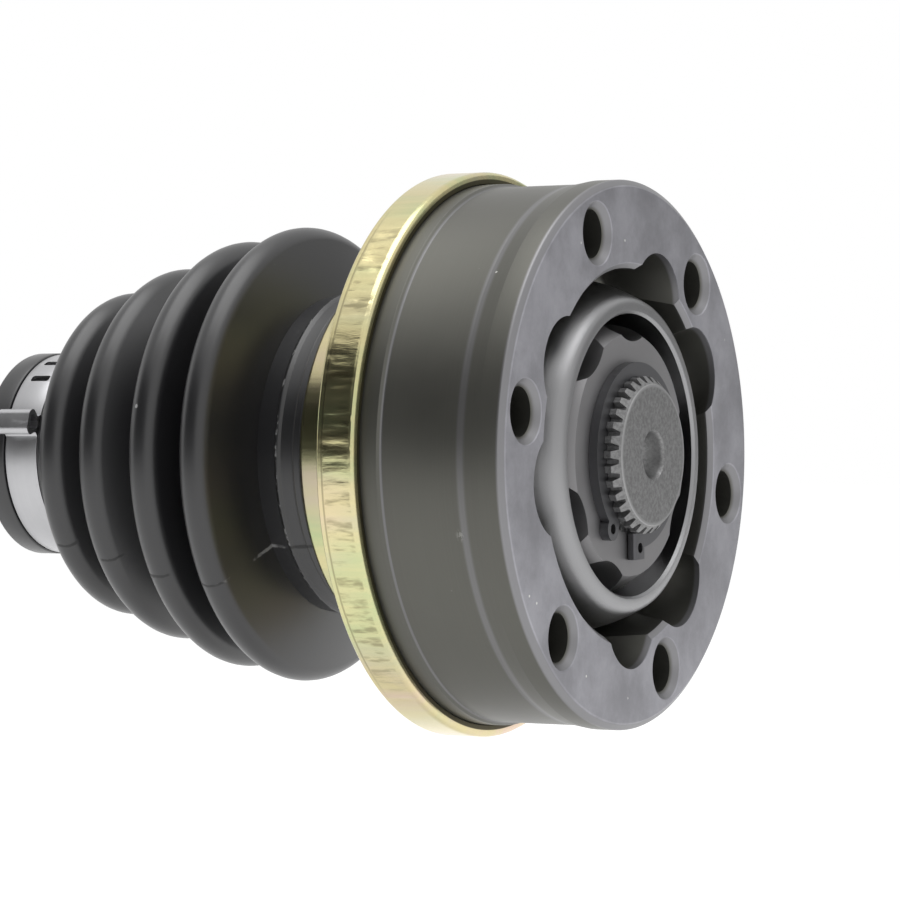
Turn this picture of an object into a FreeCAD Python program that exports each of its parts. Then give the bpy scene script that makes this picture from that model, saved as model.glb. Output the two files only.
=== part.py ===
import FreeCAD, Part
import math
import os

import Sketcher

# Front half shaft: a plunging joint with crossed ball tracks, a bar, and a fixed joint with a stub axle.
# The shaft lies along X. X = 0 is the inboard mounting face, +X points out of that face, +Z is up.
# "Behind" means further along -X, towards the wheel.

# Driving sizes in millimetres, degrees and counts
SIZES = {
    # inboard ring with the bolt holes
    "ring_radius": 50.0,
    "ring_length": 33.8,
    "ring_edge_chamfer": 1.3,
    "ring_edge_run": 0.9,
    "ring_band_length": 4.9,
    "waist_start": 8.7,
    "waist_end": 24.2,
    "waist_depth": 0.6,
    "bore_radius": 34.0,
    "bore_chamfer": 1.0,
    "bolt_circle_radius": 42.0,
    "bolt_hole_radius": 4.4,
    "bolt_hole_chamfer": 0.7,
    "bolt_count": 6,
    # slanted ball tracks
    "first_track_angle": 20.0,
    "ball_count": 6,
    "pitch_radius": 29.5,
    "ball_radius": 8.33,
    "track_skew": 16.5,
    "straight_cutter_length": 84.0,
    "outer_track_play": 0.67,
    "inner_track_play": 0.87,
    # inboard inner race and cage
    "star_sphere_radius": 27.5,
    "star_length": 32.9,
    "race_bore_chamfer": 0.8,
    "cage_radius": 32.9,
    "cage_length": 34.0,
    "cage_middle_bore": 29.7,
    "cage_end_bore": 25.6,
    "window_play": 0.06,
    "window_side_play": 1.6,
    "window_corner": 3.0,
    # plated cap
    "cap_fit": 0.15,
    "cap_rim_wall": 2.15,
    "cap_rim_length": 6.4,
    "cap_sheet": 1.8,
    "cap_corner": 1.2,
    "cap_plate_fit": 0.1,
    "cap_hole_radius": 4.6,
    "collar_radius": 34.2,
    "collar_root_round": 2.4,
    "collar_end": 50.5,
    "collar_lip_radius": 31.2,
    # splines
    "spline_teeth": 33,
    "spline_tip_radius": 14.3,
    "spline_root_radius": 13.2,
    "spline_gap_root_angle": 1.5,
    "spline_gap_tip_angle": 3.3,
    "spline_fit": 0.1,
    "spline_overcut": 0.3,
    "cut_margin": 1.0,
    # bar
    "tip_length": 4.2,
    "tip_chamfer": 1.55,
    "bar_tail": 1.5,
    "centre_hole_radius": 4.6,
    "centre_hole_depth": 6.5,
    "bar_radius": 13.5,
    "shoulder_radius": 16.0,
    "shoulder_length": 2.4,
    "shoulder_taper": 5.0,
    "boot_seat_radius": 15.6,
    "boot_seat_taper": 4.0,
    "boot_seat_margin": 1.5,
    # retaining ring with eyes on the inboard end
    "clip_thickness": 1.7,
    "clip_fit": 0.05,
    "clip_radius": 16.9,
    "clip_groove_radius": 13.0,
    "clip_gap_angle": 252.0,
    "clip_gap_half_angle": 14.0,
    "clip_eye_radius": 2.1,
    "clip_eye_offset": 16.9,
    "clip_eye_spread": 20.0,
    "clip_eye_hole": 0.95,
    # dished washers
    "washer_bore": 14.6,
    "washer_radius": 20.5,
    "washer_sheet": 1.5,
    "washer_dish": 1.2,
    "washer_fit": 0.05,
    # inboard boot
    "boot_wall": 1.9,
    "bead_start": 40.6,
    "bead_fit": 0.3,
    "bead_wall": 3.5,
    "neck_radius": 30.6,
    "neck_end_radius": 30.0,
    "neck_rib_place": 57.0,
    "neck_rib_height": 0.5,
    "fold_start": 61.7,
    "fold_start_inside": 62.8,
    "crest_round": 3.3,
    "valley_round": 1.3,
    "boot_small_start": 114.8,
    "boot_small_end": 131.0,
    "boot_small_radius": 19.9,
    "boot_fit": 0.15,
    "boot_collar_lead": 1.5,
    # boot clamps
    "band_place": 118.6,
    "band_width": 7.4,
    "band_sheet": 0.8,
    "band_fit": 0.05,
    "band_side_play": 0.2,
    "band_seat_depth": 1.1,
    "ear_angle": 164.0,
    "ear_height": 3.6,
    "ear_half_width": 2.3,
    "ear_waist": 1.3,
    # outboard joint
    "outboard_place": 460.0,
    "outboard_first_angle": 90.0,
    "outboard_pitch_radius": 30.5,
    "track_offset": 3.0,
    "outboard_track_play": 0.25,
    "outboard_star_radius": 28.4,
    "outboard_star_length": 23.0,
    "outboard_cage_bore": 28.6,
    "outboard_cage_radius": 33.4,
    "outboard_cage_length": 31.0,
    "outboard_window_play": 0.32,
    "outboard_window_side_play": 1.5,
    "bell_fit": 0.2,
    "bell_seat_step": 1.2,
    "bell_mouth": 14.0,
    "bell_mouth_radius": 34.3,
    "bell_mouth_bevel": 5.0,
    "bell_edge_chamfer": 0.8,
    "bell_seat_radius": 42.3,
    "bell_seat_start": 3.0,
    "bell_seat_run": 0.6,
    "bell_floor": 27.2,
    "bell_face": 33.0,
    "bell_face_radius": 27.0,
    "bell_face_bevel": 2.0,
    "bell_face_bevel_rise": 1.0,
    "bell_shoulder_radius": 35.5,
    "bell_shoulder_place": 24.5,
    "bell_waist_place": 14.0,
    "bell_waist_drop": 1.5,
    "track_deep_angle": 40.0,
    "track_open_angle": 75.0,
    "thrust_ring_length": 2.4,
    "thrust_ring_radius": 18.6,
    "wire_radius": 0.8,
    "wire_ring_radius": 13.1,
    "wire_groove_radius": 12.2,
    "wire_place": 8.0,
    "wire_gap_angle": 30.0,
    # stub axle
    "journal_radius": 17.0,
    "journal_length": 12.0,
    "journal_chamfer": 1.0,
    "stub_teeth": 30,
    "stub_tip_radius": 14.6,
    "stub_root_radius": 13.4,
    "stub_gap_root_angle": 1.7,
    "stub_gap_tip_angle": 3.6,
    "stub_spline_length": 38.0,
    "stub_spline_start": 1.5,
    "stub_spline_lead": 1.6,
    "thread_radius": 11.0,
    "thread_relief_radius": 9.8,
    "thread_relief_length": 3.0,
    "thread_length": 24.0,
    "thread_chamfer": 1.5,
    # outboard boot
    "out_neck_place": 20.5,
    "out_neck_radius": 36.2,
    "out_neck_inside_place": 20.3,
    "out_neck_inside_radius": 32.0,
    "out_boot_grip": 9.5,
    "out_boot_grip_wall": 2.6,
    "out_boot_shoulder": 2.5,
    "out_boot_shoulder_drop": 1.0,
    "out_boot_length": 92.0,
    "out_boot_collar": 16.2,
    "large_band_width": 7.4,
    "large_band_margin": 1.0,
}

# Folds of each boot from its large end to its small end: crest place and radius, then the valley after it
INBOARD_FOLDS = (
    ("fold_one", 68.2, 43.2, 74.6, 31.6),
    ("fold_two", 80.8, 40.8, 88.2, 29.4),
    ("fold_three", 95.4, 35.9, 101.7, 26.0),
    ("fold_four", 107.6, 31.5, None, None),
)
OUTBOARD_FOLDS = (
    ("out_fold_one", 27.0, 45.2, 33.5, 35.0),
    ("out_fold_two", 40.0, 41.0, 46.5, 31.0),
    ("out_fold_three", 52.5, 36.5, 58.5, 27.0),
    ("out_fold_four", 64.0, 31.5, None, None),
)
for fold, crest_place, crest_radius, valley_place, valley_radius in INBOARD_FOLDS + OUTBOARD_FOLDS:
    SIZES[fold + "_place"] = crest_place
    SIZES[fold + "_radius"] = crest_radius
    if valley_place:
        SIZES[fold + "_valley_place"] = valley_place
        SIZES[fold + "_valley_radius"] = valley_radius

document = FreeCAD.newDocument("half_shaft")
sheet = document.addObject("Spreadsheet::Sheet", "Sizes")
for row, (alias, number) in enumerate(SIZES.items(), start=1):
    sheet.set("A%d" % row, alias)
    sheet.set("B%d" % row, str(number))
    sheet.setAlias("B%d" % row, alias)
document.recompute()


class Size:
    """A number of the model together with the sheet formula that gives it."""

    def __init__(self, number, text=None):
        self.number = float(number)
        self.text = text or repr(float(number))

    @staticmethod
    def of(other):
        return other if isinstance(other, Size) else Size(other)

    def __add__(self, other):
        other = Size.of(other)
        return Size(self.number + other.number, "(%s + %s)" % (self.text, other.text))

    def __sub__(self, other):
        other = Size.of(other)
        return Size(self.number - other.number, "(%s - %s)" % (self.text, other.text))

    def __mul__(self, other):
        other = Size.of(other)
        return Size(self.number * other.number, "(%s * %s)" % (self.text, other.text))

    def __truediv__(self, other):
        other = Size.of(other)
        return Size(self.number / other.number, "(%s / %s)" % (self.text, other.text))

    def __neg__(self):
        return Size(-self.number, "(0 - %s)" % self.text)

    __radd__ = __add__
    __rmul__ = __mul__

    def __rsub__(self, other):
        return Size.of(other) - self


def root(size):
    return Size(math.sqrt(size.number), "sqrt(%s)" % size.text)


def sine(size):
    return Size(math.sin(math.radians(size.number)), "sin(%s)" % size.text)


def cosine(size):
    return Size(math.cos(math.radians(size.number)), "cos(%s)" % size.text)


def angle_of_cosine(size):
    return Size(math.degrees(math.acos(size.number)), "acos(%s)" % size.text)


def heading(across, up):
    """The direction, in degrees, of a step across and up."""
    return Size(math.degrees(math.atan2(up.number, across.number)), "atan2(%s; %s)" % (up.text, across.text))


def sphere_radius_at(radius, distance):
    """The radius of a sphere's section at a distance from its middle."""
    return root(radius * radius - distance * distance)


class Sheet:
    """The driving sizes by name."""

    def __getattr__(self, alias):
        return Size(sheet.get(alias), "Sizes." + alias)


S = Sheet()
NODES = []
X_AXIS = FreeCAD.Vector(1, 0, 0)
inboard_centre = -S.ring_length / 2
outboard_centre = -S.outboard_place
star_front = inboard_centre + S.star_length / 2
star_back = inboard_centre - S.star_length / 2
spline_pitch = Size(360) / S.spline_teeth
outboard_torus_radius = root(S.outboard_pitch_radius * S.outboard_pitch_radius
                             + S.track_offset * S.track_offset)


def named_node(shape_object, name):
    """Give a finished sub-part its node name."""
    shape_object.Label = name
    NODES.append(shape_object)
    return shape_object


def origin_plane(body, role):
    return next(plane for plane in body.Origin.OriginFeatures if plane.Role == role)


def new_sketch(body, name, role, offset=None):
    """A sketch on one of the body's own planes, moved along that plane's normal."""
    sketch = body.newObject("Sketcher::SketchObject", name)
    sketch.AttachmentSupport = (origin_plane(body, role), "")
    sketch.MapMode = "FlatFace"
    if offset is not None:
        sketch.AttachmentOffset = FreeCAD.Placement(FreeCAD.Vector(0, 0, offset.number), FreeCAD.Rotation())
        sketch.setExpression(".AttachmentOffset.Base.z", offset.text)
    return sketch


def hold(sketch, kind, geometry, place, size):
    """Add a dimension whose value follows the sheet."""
    if kind == "Radius":
        number = sketch.addConstraint(Sketcher.Constraint(kind, geometry, size.number))
    else:
        number = sketch.addConstraint(Sketcher.Constraint(kind, -1, 1, geometry, place, size.number))
    sketch.setExpression("Constraints[%d]" % number, size.text)


def draw_outline(sketch, corners):
    """Draw a closed outline. A corner is (across, up), or (across, up, radius, side) where the edge that
    leaves it is an arc whose centre lies on the left (side 1) or the right (side -1) of that edge."""
    corners = [tuple(Size.of(v) for v in corner[:3]) + tuple(corner[3:]) for corner in corners]
    first = sketch.GeometryCount
    ends = []
    for number, corner in enumerate(corners):
        nearby = corners[(number + 1) % len(corners)]
        here = FreeCAD.Vector(corner[0].number, corner[1].number, 0)
        there = FreeCAD.Vector(nearby[0].number, nearby[1].number, 0)
        if len(corner) == 2:
            sketch.addGeometry(Part.LineSegment(here, there))
            ends.append((1, 2))
            continue
        radius, side = corner[2].number, corner[3]
        along = there - here
        middle = (here + there) * 0.5
        left = FreeCAD.Vector(-along.y, along.x, 0).normalize()
        centre = middle + left * (side * math.sqrt(radius ** 2 - (along.Length / 2) ** 2))
        start, stop = (here, there) if side > 0 else (there, here)
        angles = [math.atan2(p.y - centre.y, p.x - centre.x) for p in (start, stop)]
        if angles[1] < angles[0]:
            angles[1] += 2 * math.pi
        circle = Part.Circle(centre, FreeCAD.Vector(0, 0, 1), radius)
        sketch.addGeometry(Part.ArcOfCircle(circle, angles[0], angles[1]))
        ends.append((1, 2) if side > 0 else (2, 1))
    count = len(corners)
    for number in range(count):
        after = (number + 1) % count
        sketch.addConstraint(Sketcher.Constraint("Coincident", first + number, ends[number][1],
                                                 first + after, ends[after][0]))
    for number, corner in enumerate(corners):
        hold(sketch, "DistanceX", first + number, ends[number][0], corner[0])
        hold(sketch, "DistanceY", first + number, ends[number][0], corner[1])
        if len(corner) > 2:
            hold(sketch, "Radius", first + number, 0, corner[2])


def turned_body(name, corners):
    """A body turned about the shaft's axis. Its outline is drawn in X and radius."""
    body = document.addObject("PartDesign::Body", name)
    sketch = new_sketch(body, name + "_outline", "XY_Plane")
    draw_outline(sketch, corners)
    turned = body.newObject("PartDesign::Revolution", name + "_turned")
    turned.Profile = sketch
    turned.ReferenceAxis = (sketch, ["H_Axis"])
    turned.Angle = 360
    document.recompute()
    return body


def patterned(body, feature, name, count):
    """Repeat a feature round the shaft's axis."""
    pattern = body.newObject("PartDesign::PolarPattern", name)
    pattern.Originals = [feature]
    pattern.Axis = (next(a for a in body.Origin.OriginFeatures if a.Role == "X_Axis"), [""])
    pattern.Angle = 360
    pattern.Occurrences = int(count.number)
    pattern.setExpression("Occurrences", count.text)
    body.Tip = pattern
    document.recompute()
    return pattern


def ring_edges(body, places):
    """Names of the body's round edges at the given (X, radius) places."""
    names = []
    for number, edge in enumerate(body.Tip.Shape.Edges, start=1):
        if not isinstance(edge.Curve, Part.Circle):
            continue
        for place, radius in places:
            if abs(edge.Curve.Center.x - place) < 1e-4 and abs(edge.Curve.Radius - radius) < 1e-4:
                names.append("Edge%d" % number)
    return names


def chamfer_edges(body, name, edges, size):
    """Chamfer edges of the body."""
    base = body.Tip
    chamfer = body.newObject("PartDesign::Chamfer", name)
    chamfer.Base = (base, edges)
    chamfer.Size = size.number
    chamfer.setExpression("Size", size.text)
    body.Tip = chamfer
    document.recompute()
    return chamfer


def cut_holes(body, name, start, circle_radius, angle, hole_radius, count):
    """Holes on a circle, right through the body along -X."""
    sketch = new_sketch(body, name + "_sketch", "YZ_Plane", start)
    across = circle_radius * cosine(angle)
    up = circle_radius * sine(angle)
    centre = FreeCAD.Vector(across.number, up.number, 0)
    sketch.addGeometry(Part.Circle(centre, FreeCAD.Vector(0, 0, 1), hole_radius.number))
    hold(sketch, "DistanceX", 0, 3, across)
    hold(sketch, "DistanceY", 0, 3, up)
    hold(sketch, "Radius", 0, 0, hole_radius)
    hole = body.newObject("PartDesign::Pocket", name)
    hole.Profile = sketch
    hole.Type = "ThroughAll"
    document.recompute()
    return patterned(body, hole, name + "_circle", count)


def cut_spline(body, name, start, length, inner, outer, inner_half, outer_half, teeth, turn=None):
    """Gaps between spline teeth, from X = start along -X. Each gap is a straight-sided trapezium."""
    sketch = new_sketch(body, name + "_sketch", "YZ_Plane", start)
    corners = [(inner, -inner_half), (outer, -outer_half), (outer, outer_half), (inner, inner_half)]
    if turn is not None:
        cos, sin = cosine(turn), sine(turn)
        corners = [(a * cos - b * sin, a * sin + b * cos) for a, b in corners]
    draw_outline(sketch, corners)
    gap = body.newObject("PartDesign::Pocket", name)
    gap.Profile = sketch
    gap.Length = length.number
    gap.setExpression("Length", length.text)
    document.recompute()
    return patterned(body, gap, name + "_teeth", teeth)


def spline_gap_half(radius, root_radius, tip_radius, root_angle, tip_angle):
    """Half the angle of a gap between shaft teeth at a radius."""
    share = (radius - root_radius) / (tip_radius - root_radius)
    return root_angle + (tip_angle - root_angle) * share


def shaft_spline(body, name, start, length, root_radius, tip_radius, root_angle, tip_angle, teeth):
    """Teeth on the outside of a shaft."""
    outside = tip_radius + S.spline_overcut
    outer_angle = spline_gap_half(outside, root_radius, tip_radius, root_angle, tip_angle)
    return cut_spline(body, name, start, length, root_radius, outside, root_radius * sine(root_angle),
                      outside * sine(outer_angle), teeth)


def hub_spline(body, name, start, length, race_turn):
    """Teeth in the bore of a race that fit the bar's teeth with the spline's clearance, once the race is
    turned about the shaft's axis by race_turn."""
    inside = S.spline_root_radius - S.spline_overcut
    outside = S.spline_tip_radius + S.spline_fit
    inner_angle = spline_pitch / 2 - spline_gap_half(inside, S.spline_root_radius, S.spline_tip_radius,
                                                     S.spline_gap_root_angle, S.spline_gap_tip_angle)
    outer_angle = spline_pitch / 2 - spline_gap_half(outside, S.spline_root_radius, S.spline_tip_radius,
                                                     S.spline_gap_root_angle, S.spline_gap_tip_angle)
    return cut_spline(body, name, start, length, inside, outside,
                      inside * sine(inner_angle) + S.spline_fit / 2,
                      outside * sine(outer_angle) + S.spline_fit / 2,
                      S.spline_teeth, spline_pitch / 2 - race_turn)


def turn_about_axis(shape_object, angle):
    """Turn a finished sub-part about the shaft's axis."""
    shape_object.Placement = FreeCAD.Placement(FreeCAD.Vector(), FreeCAD.Rotation(X_AXIS, angle.number))


def radial(angle):
    """The direction square to the shaft's axis at an angle from +Y towards +Z."""
    turn = math.radians(angle)
    return FreeCAD.Vector(0, math.cos(turn), math.sin(turn))


def tangent(angle):
    return radial(angle + 90)


def ball_angles(first):
    return [first.number + number * 360 / S.ball_count.number for number in range(int(S.ball_count.number))]


def skewed_track_cutters(name, radius, lean):
    """Straight round bars along the slanted tracks; every second one leans the other way."""
    cutters = []
    length = S.straight_cutter_length
    for number, angle in enumerate(ball_angles(Size(0))):
        side = lean if number % 2 == 0 else -lean
        skew = math.radians(S.track_skew.number)
        along = X_AXIS * math.cos(skew) + tangent(angle) * (side * math.sin(skew))
        middle = X_AXIS * inboard_centre.number + radial(angle) * S.pitch_radius.number
        cutter = document.addObject("Part::Cylinder", "%s_%d" % (name, number + 1))
        cutter.Radius = radius.number
        cutter.setExpression("Radius", radius.text)
        cutter.Height = length.number
        cutter.setExpression("Height", length.text)
        cutter.Placement = FreeCAD.Placement(middle - along * (length.number / 2),
                                             FreeCAD.Rotation(FreeCAD.Vector(0, 0, 1), along))
        cutters.append(cutter)
    return cutters


def curved_track_cutters(name, offset, deep_angle, reach_angle):
    """Round bars bent to an arc in each ball's own plane, from the deep end to the open end."""
    cutters = []
    radius = S.ball_radius + S.outboard_track_play
    for number, angle in enumerate(ball_angles(Size(0))):
        out = radial(angle)
        start = math.radians(-deep_angle.number)
        first = out * math.cos(start) + X_AXIS * math.sin(start)
        across = out.cross(X_AXIS)
        cutter = document.addObject("Part::Torus", "%s_%d" % (name, number + 1))
        cutter.Radius1 = outboard_torus_radius.number
        cutter.setExpression("Radius1", outboard_torus_radius.text)
        cutter.Radius2 = radius.number
        cutter.setExpression("Radius2", radius.text)
        cutter.Angle3 = deep_angle.number + reach_angle.number
        cutter.setExpression("Angle3", (deep_angle + reach_angle).text)
        centre = X_AXIS * (outboard_centre + offset).number
        cutter.Placement = FreeCAD.Placement(centre, FreeCAD.Rotation(first, across.cross(first), across))
        cutters.append(cutter)
    return cutters


def cut_with(base, cutters, name):
    """Cut all the cutters out of a blank."""
    tools = document.addObject("Part::MultiFuse", name + "_cutters")
    tools.Shapes = cutters
    cut = document.addObject("Part::Cut", name)
    cut.Base = base
    cut.Tool = tools
    document.recompute()
    return cut


def make_outer_race():
    """Ring with six bolt holes and six slanted tracks."""
    waist = S.ring_radius - S.waist_depth
    chamfer = S.ring_edge_chamfer
    body = turned_body("ring_blank", [
        (0, S.bore_radius + S.bore_chamfer),
        (0, S.ring_radius - chamfer),
        (-S.ring_edge_run, S.ring_radius),
        (-S.ring_band_length, S.ring_radius),
        (-S.waist_start, waist),
        (-S.waist_end, waist),
        (-S.waist_end - S.waist_depth, S.ring_radius),
        (-S.ring_length + chamfer, S.ring_radius),
        (-S.ring_length, S.ring_radius - chamfer),
        (-S.ring_length, S.bore_radius + S.bore_chamfer),
        (-S.ring_length + S.bore_chamfer, S.bore_radius),
        (-S.bore_chamfer, S.bore_radius),
    ])
    half_step = Size(180) / S.ball_count
    cut_holes(body, "bolt_holes", Size(0), S.bolt_circle_radius, half_step, S.bolt_hole_radius, S.bolt_count)
    hole_radius = S.bolt_hole_radius.number
    mouths = ring_edges(body, [(0, hole_radius), (-S.ring_length.number, hole_radius)])
    chamfer_edges(body, "bolt_hole_mouths", mouths, S.bolt_hole_chamfer)
    race = cut_with(body, skewed_track_cutters("outer_track", S.ball_radius + S.outer_track_play, 1),
                    "outer_race_cut")
    turn_about_axis(race, S.first_track_angle)
    return named_node(race, "inboard_outer_race")


def make_inner_race():
    """Star with a round outside, six grooves that lean against the ring's tracks, and a splined bore."""
    end_radius = sphere_radius_at(S.star_sphere_radius, S.star_length / 2)
    bore = S.spline_root_radius + S.spline_fit
    body = turned_body("star_blank", [
        (star_back, bore + S.race_bore_chamfer),
        (star_back, end_radius, S.star_sphere_radius, -1),
        (star_front, end_radius),
        (star_front, bore + S.race_bore_chamfer),
        (star_front - S.race_bore_chamfer, bore),
        (star_back + S.race_bore_chamfer, bore),
    ])
    hub_spline(body, "star_spline", star_front + S.cut_margin, S.star_length + S.cut_margin * 2,
               S.first_track_angle)
    race = cut_with(body, skewed_track_cutters("inner_track", S.ball_radius + S.inner_track_play, -1),
                    "inner_race_cut")
    turn_about_axis(race, S.first_track_angle)
    return named_node(race, "inboard_inner_race")


def cut_windows(body, name, centre, half_length, half_width):
    """Rounded windows through a cage, one per ball."""
    round_size = S.window_corner
    sketch = new_sketch(body, name + "_sketch", "XZ_Plane")
    left = centre - half_length
    right = centre + half_length
    low = -half_width
    high = half_width
    draw_outline(sketch, [
        (left + round_size, low),
        (right - round_size, low, round_size, 1),
        (right, low + round_size),
        (right, high - round_size, round_size, 1),
        (right - round_size, high),
        (left + round_size, high, round_size, 1),
        (left, high - round_size),
        (left, low + round_size, round_size, 1),
    ])
    window = body.newObject("PartDesign::Pocket", name)
    window.Profile = sketch
    window.Type = "ThroughAll"
    window.Midplane = True
    document.recompute()
    return patterned(body, window, name + "_round", S.ball_count / 2)


def make_inboard_cage():
    """Ring that holds the balls in one plane. Its bore is wider in the middle than at its ends."""
    half = S.cage_length / 2
    end_radius = sphere_radius_at(S.cage_radius, half)
    drop = S.cage_middle_bore - S.cage_end_bore
    bore_arc = (half * half + drop * drop) / (drop * 2)
    body = turned_body("cage_blank", [
        (inboard_centre - half, S.cage_end_bore),
        (inboard_centre - half, end_radius, S.cage_radius, -1),
        (inboard_centre + half, end_radius),
        (inboard_centre + half, S.cage_end_bore, bore_arc, 1),
    ])
    cut_windows(body, "cage_window", inboard_centre, S.ball_radius + S.window_play,
                S.ball_radius + S.window_side_play)
    turn_about_axis(body, S.first_track_angle)
    return named_node(body, "inboard_cage")


def make_balls(prefix, centre, pitch_radius, first_angle):
    """One steel ball in each track."""
    for number, angle in enumerate(ball_angles(first_angle), start=1):
        name = "%s_ball_%d" % (prefix, number)
        ball = document.addObject("Part::Sphere", name)
        ball.Radius = S.ball_radius.number
        ball.setExpression("Radius", S.ball_radius.text)
        ball.Placement = FreeCAD.Placement(X_AXIS * centre.number + radial(angle) * pitch_radius.number,
                                           FreeCAD.Rotation())
        named_node(ball, name)


def make_flange_cap():
    """Sheet cap crimped round the ring's back edge, with a collar that grips the boot."""
    inner_face = -S.ring_length - S.cap_plate_fit
    back_face = inner_face - S.cap_sheet
    rim_front = back_face + S.cap_rim_length + S.cap_corner
    rim_inside = S.ring_radius + S.cap_fit
    rim_outside = rim_inside + S.cap_rim_wall
    bore = S.collar_radius - S.cap_sheet
    body = turned_body("cap_blank", [
        (rim_front, rim_inside),
        (rim_front, rim_outside),
        (back_face + S.cap_corner, rim_outside, S.cap_corner, 1),
        (back_face, rim_outside - S.cap_corner),
        (back_face, S.collar_radius + S.collar_root_round, S.collar_root_round, -1),
        (back_face - S.collar_root_round, S.collar_radius),
        (-S.collar_end + S.cap_corner, S.collar_radius, S.cap_corner, 1),
        (-S.collar_end, S.collar_radius - S.cap_corner),
        (-S.collar_end, S.collar_lip_radius),
        (-S.collar_end + S.cap_sheet, S.collar_lip_radius),
        (-S.collar_end + S.cap_sheet, bore),
        (inner_face, bore),
        (inner_face, rim_inside),
    ])
    half_step = Size(180) / S.ball_count
    cut_holes(body, "cap_holes", inner_face + S.cut_margin, S.bolt_circle_radius, half_step,
              S.cap_hole_radius, S.bolt_count)
    turn_about_axis(body, S.first_track_angle)
    return named_node(body, "inboard_flange_cap")


def make_inboard_circlip():
    """Open retaining ring with two eyes, seated in the groove beyond the inner race."""
    back = star_front + S.clip_fit
    thickness = S.clip_thickness.number
    bore = S.clip_groove_radius.number + S.clip_fit.number
    start = X_AXIS * back.number
    ring = Part.makeCylinder(S.clip_radius.number, thickness, start, X_AXIS)
    mouth = radial(S.clip_gap_angle.number)
    reach = S.clip_radius.number * 2
    half_gap = S.clip_gap_half_angle.number
    wedge = Part.Face(Part.makePolygon([
        start,
        start + radial(S.clip_gap_angle.number - half_gap) * reach,
        start + mouth * reach,
        start + radial(S.clip_gap_angle.number + half_gap) * reach,
        start,
    ])).extrude(X_AXIS * thickness)
    ring = ring.cut(wedge)
    for side in (-1, 1):
        angle = S.clip_gap_angle.number + side * S.clip_eye_spread.number
        place = start + radial(angle) * S.clip_eye_offset.number
        eye = Part.makeCylinder(S.clip_eye_radius.number, thickness, place, X_AXIS)
        hole = Part.makeCylinder(S.clip_eye_hole.number, thickness, place, X_AXIS)
        ring = ring.fuse(eye).cut(hole)
    ring = ring.cut(Part.makeCylinder(bore, thickness, start, X_AXIS)).removeSplitter()
    clip = document.addObject("Part::Feature", "circlip_shape")
    clip.Shape = ring
    return named_node(clip, "inboard_circlip")


def make_dished_washer(name, flat_side, height_sign, rim):
    """Conical spring washer: its rim rests at flat_side and its bore stands off along height_sign."""
    bore_side = flat_side + S.washer_dish * height_sign
    body = turned_body(name + "_blank", [
        (bore_side, S.washer_bore),
        (flat_side, rim),
        (flat_side + S.washer_sheet * height_sign, rim),
        (bore_side + S.washer_sheet * height_sign, S.washer_bore),
    ])
    return named_node(body, name)


def inboard_shoulder():
    """Where the bar's inboard shoulder stands behind the dished washer."""
    return star_back - S.washer_fit * 2 - S.washer_dish - S.washer_sheet


def outboard_shoulder():
    """Where the bar's outboard shoulder stands in front of the thrust ring and the washer."""
    front = outboard_centre + S.outboard_star_length / 2
    return front + S.thrust_ring_length + S.washer_fit * 3 + S.washer_dish + S.washer_sheet


def small_collar_span(start, end):
    """The bar's boot seat reaches past both ends of the boot's small collar."""
    return start + S.boot_seat_margin, end - S.boot_seat_margin


def outboard_boot_tip():
    """The end of the outboard boot that is nearest to the inboard joint."""
    return outboard_centre + S.out_boot_length


def make_shaft_bar():
    """Bar with a spline, a clip groove and a shoulder at each end and two boot seats."""
    tip = S.tip_length
    tail = outboard_centre - S.outboard_star_length / 2 - S.bar_tail
    groove_front = star_front + S.clip_thickness + S.clip_fit * 2
    near = inboard_shoulder()
    far = outboard_shoulder()
    seat_one = small_collar_span(-S.boot_small_start, -S.boot_small_end)
    out_tip = outboard_boot_tip()
    seat_two = small_collar_span(out_tip, out_tip - S.out_boot_collar)
    wire = outboard_centre - S.wire_place
    tip_radius = S.spline_tip_radius
    drop = S.tip_chamfer
    body = turned_body("bar_blank", [
        (tip - S.centre_hole_depth, 0),
        (tip, S.centre_hole_radius),
        (tip, tip_radius - drop),
        (tip - drop, tip_radius),
        (groove_front, tip_radius),
        (groove_front, S.clip_groove_radius),
        (star_front, S.clip_groove_radius),
        (star_front, tip_radius),
        (near, tip_radius),
        (near, S.shoulder_radius),
        (near - S.shoulder_length, S.shoulder_radius),
        (near - S.shoulder_length - S.shoulder_taper, S.bar_radius),
        (seat_one[0] + S.boot_seat_taper, S.bar_radius),
        (seat_one[0], S.boot_seat_radius),
        (seat_one[1], S.boot_seat_radius),
        (seat_one[1] - S.boot_seat_taper, S.bar_radius),
        (seat_two[0] + S.boot_seat_taper, S.bar_radius),
        (seat_two[0], S.boot_seat_radius),
        (seat_two[1], S.boot_seat_radius),
        (seat_two[1] - S.boot_seat_taper, S.bar_radius),
        (far + S.shoulder_length + S.shoulder_taper / 2, S.bar_radius),
        (far + S.shoulder_length, S.shoulder_radius),
        (far, S.shoulder_radius),
        (far, tip_radius),
        (wire + S.wire_radius + S.clip_fit, tip_radius),
        (wire + S.wire_radius + S.clip_fit, S.wire_groove_radius),
        (wire - S.wire_radius - S.clip_fit, S.wire_groove_radius),
        (wire - S.wire_radius - S.clip_fit, tip_radius),
        (tail + drop, tip_radius),
        (tail, tip_radius - drop),
        (tail, 0),
    ])
    margin = S.cut_margin
    shaft_spline(body, "bar_spline", tip + margin, tip - star_back + margin * 2, S.spline_root_radius,
                 tip_radius, S.spline_gap_root_angle, S.spline_gap_tip_angle, S.spline_teeth)
    race_front = outboard_centre + S.outboard_star_length / 2
    shaft_spline(body, "bar_far_spline", race_front + margin, race_front - tail + margin * 2,
                 S.spline_root_radius, tip_radius, S.spline_gap_root_angle, S.spline_gap_tip_angle,
                 S.spline_teeth)
    return named_node(body, "shaft_bar")


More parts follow.
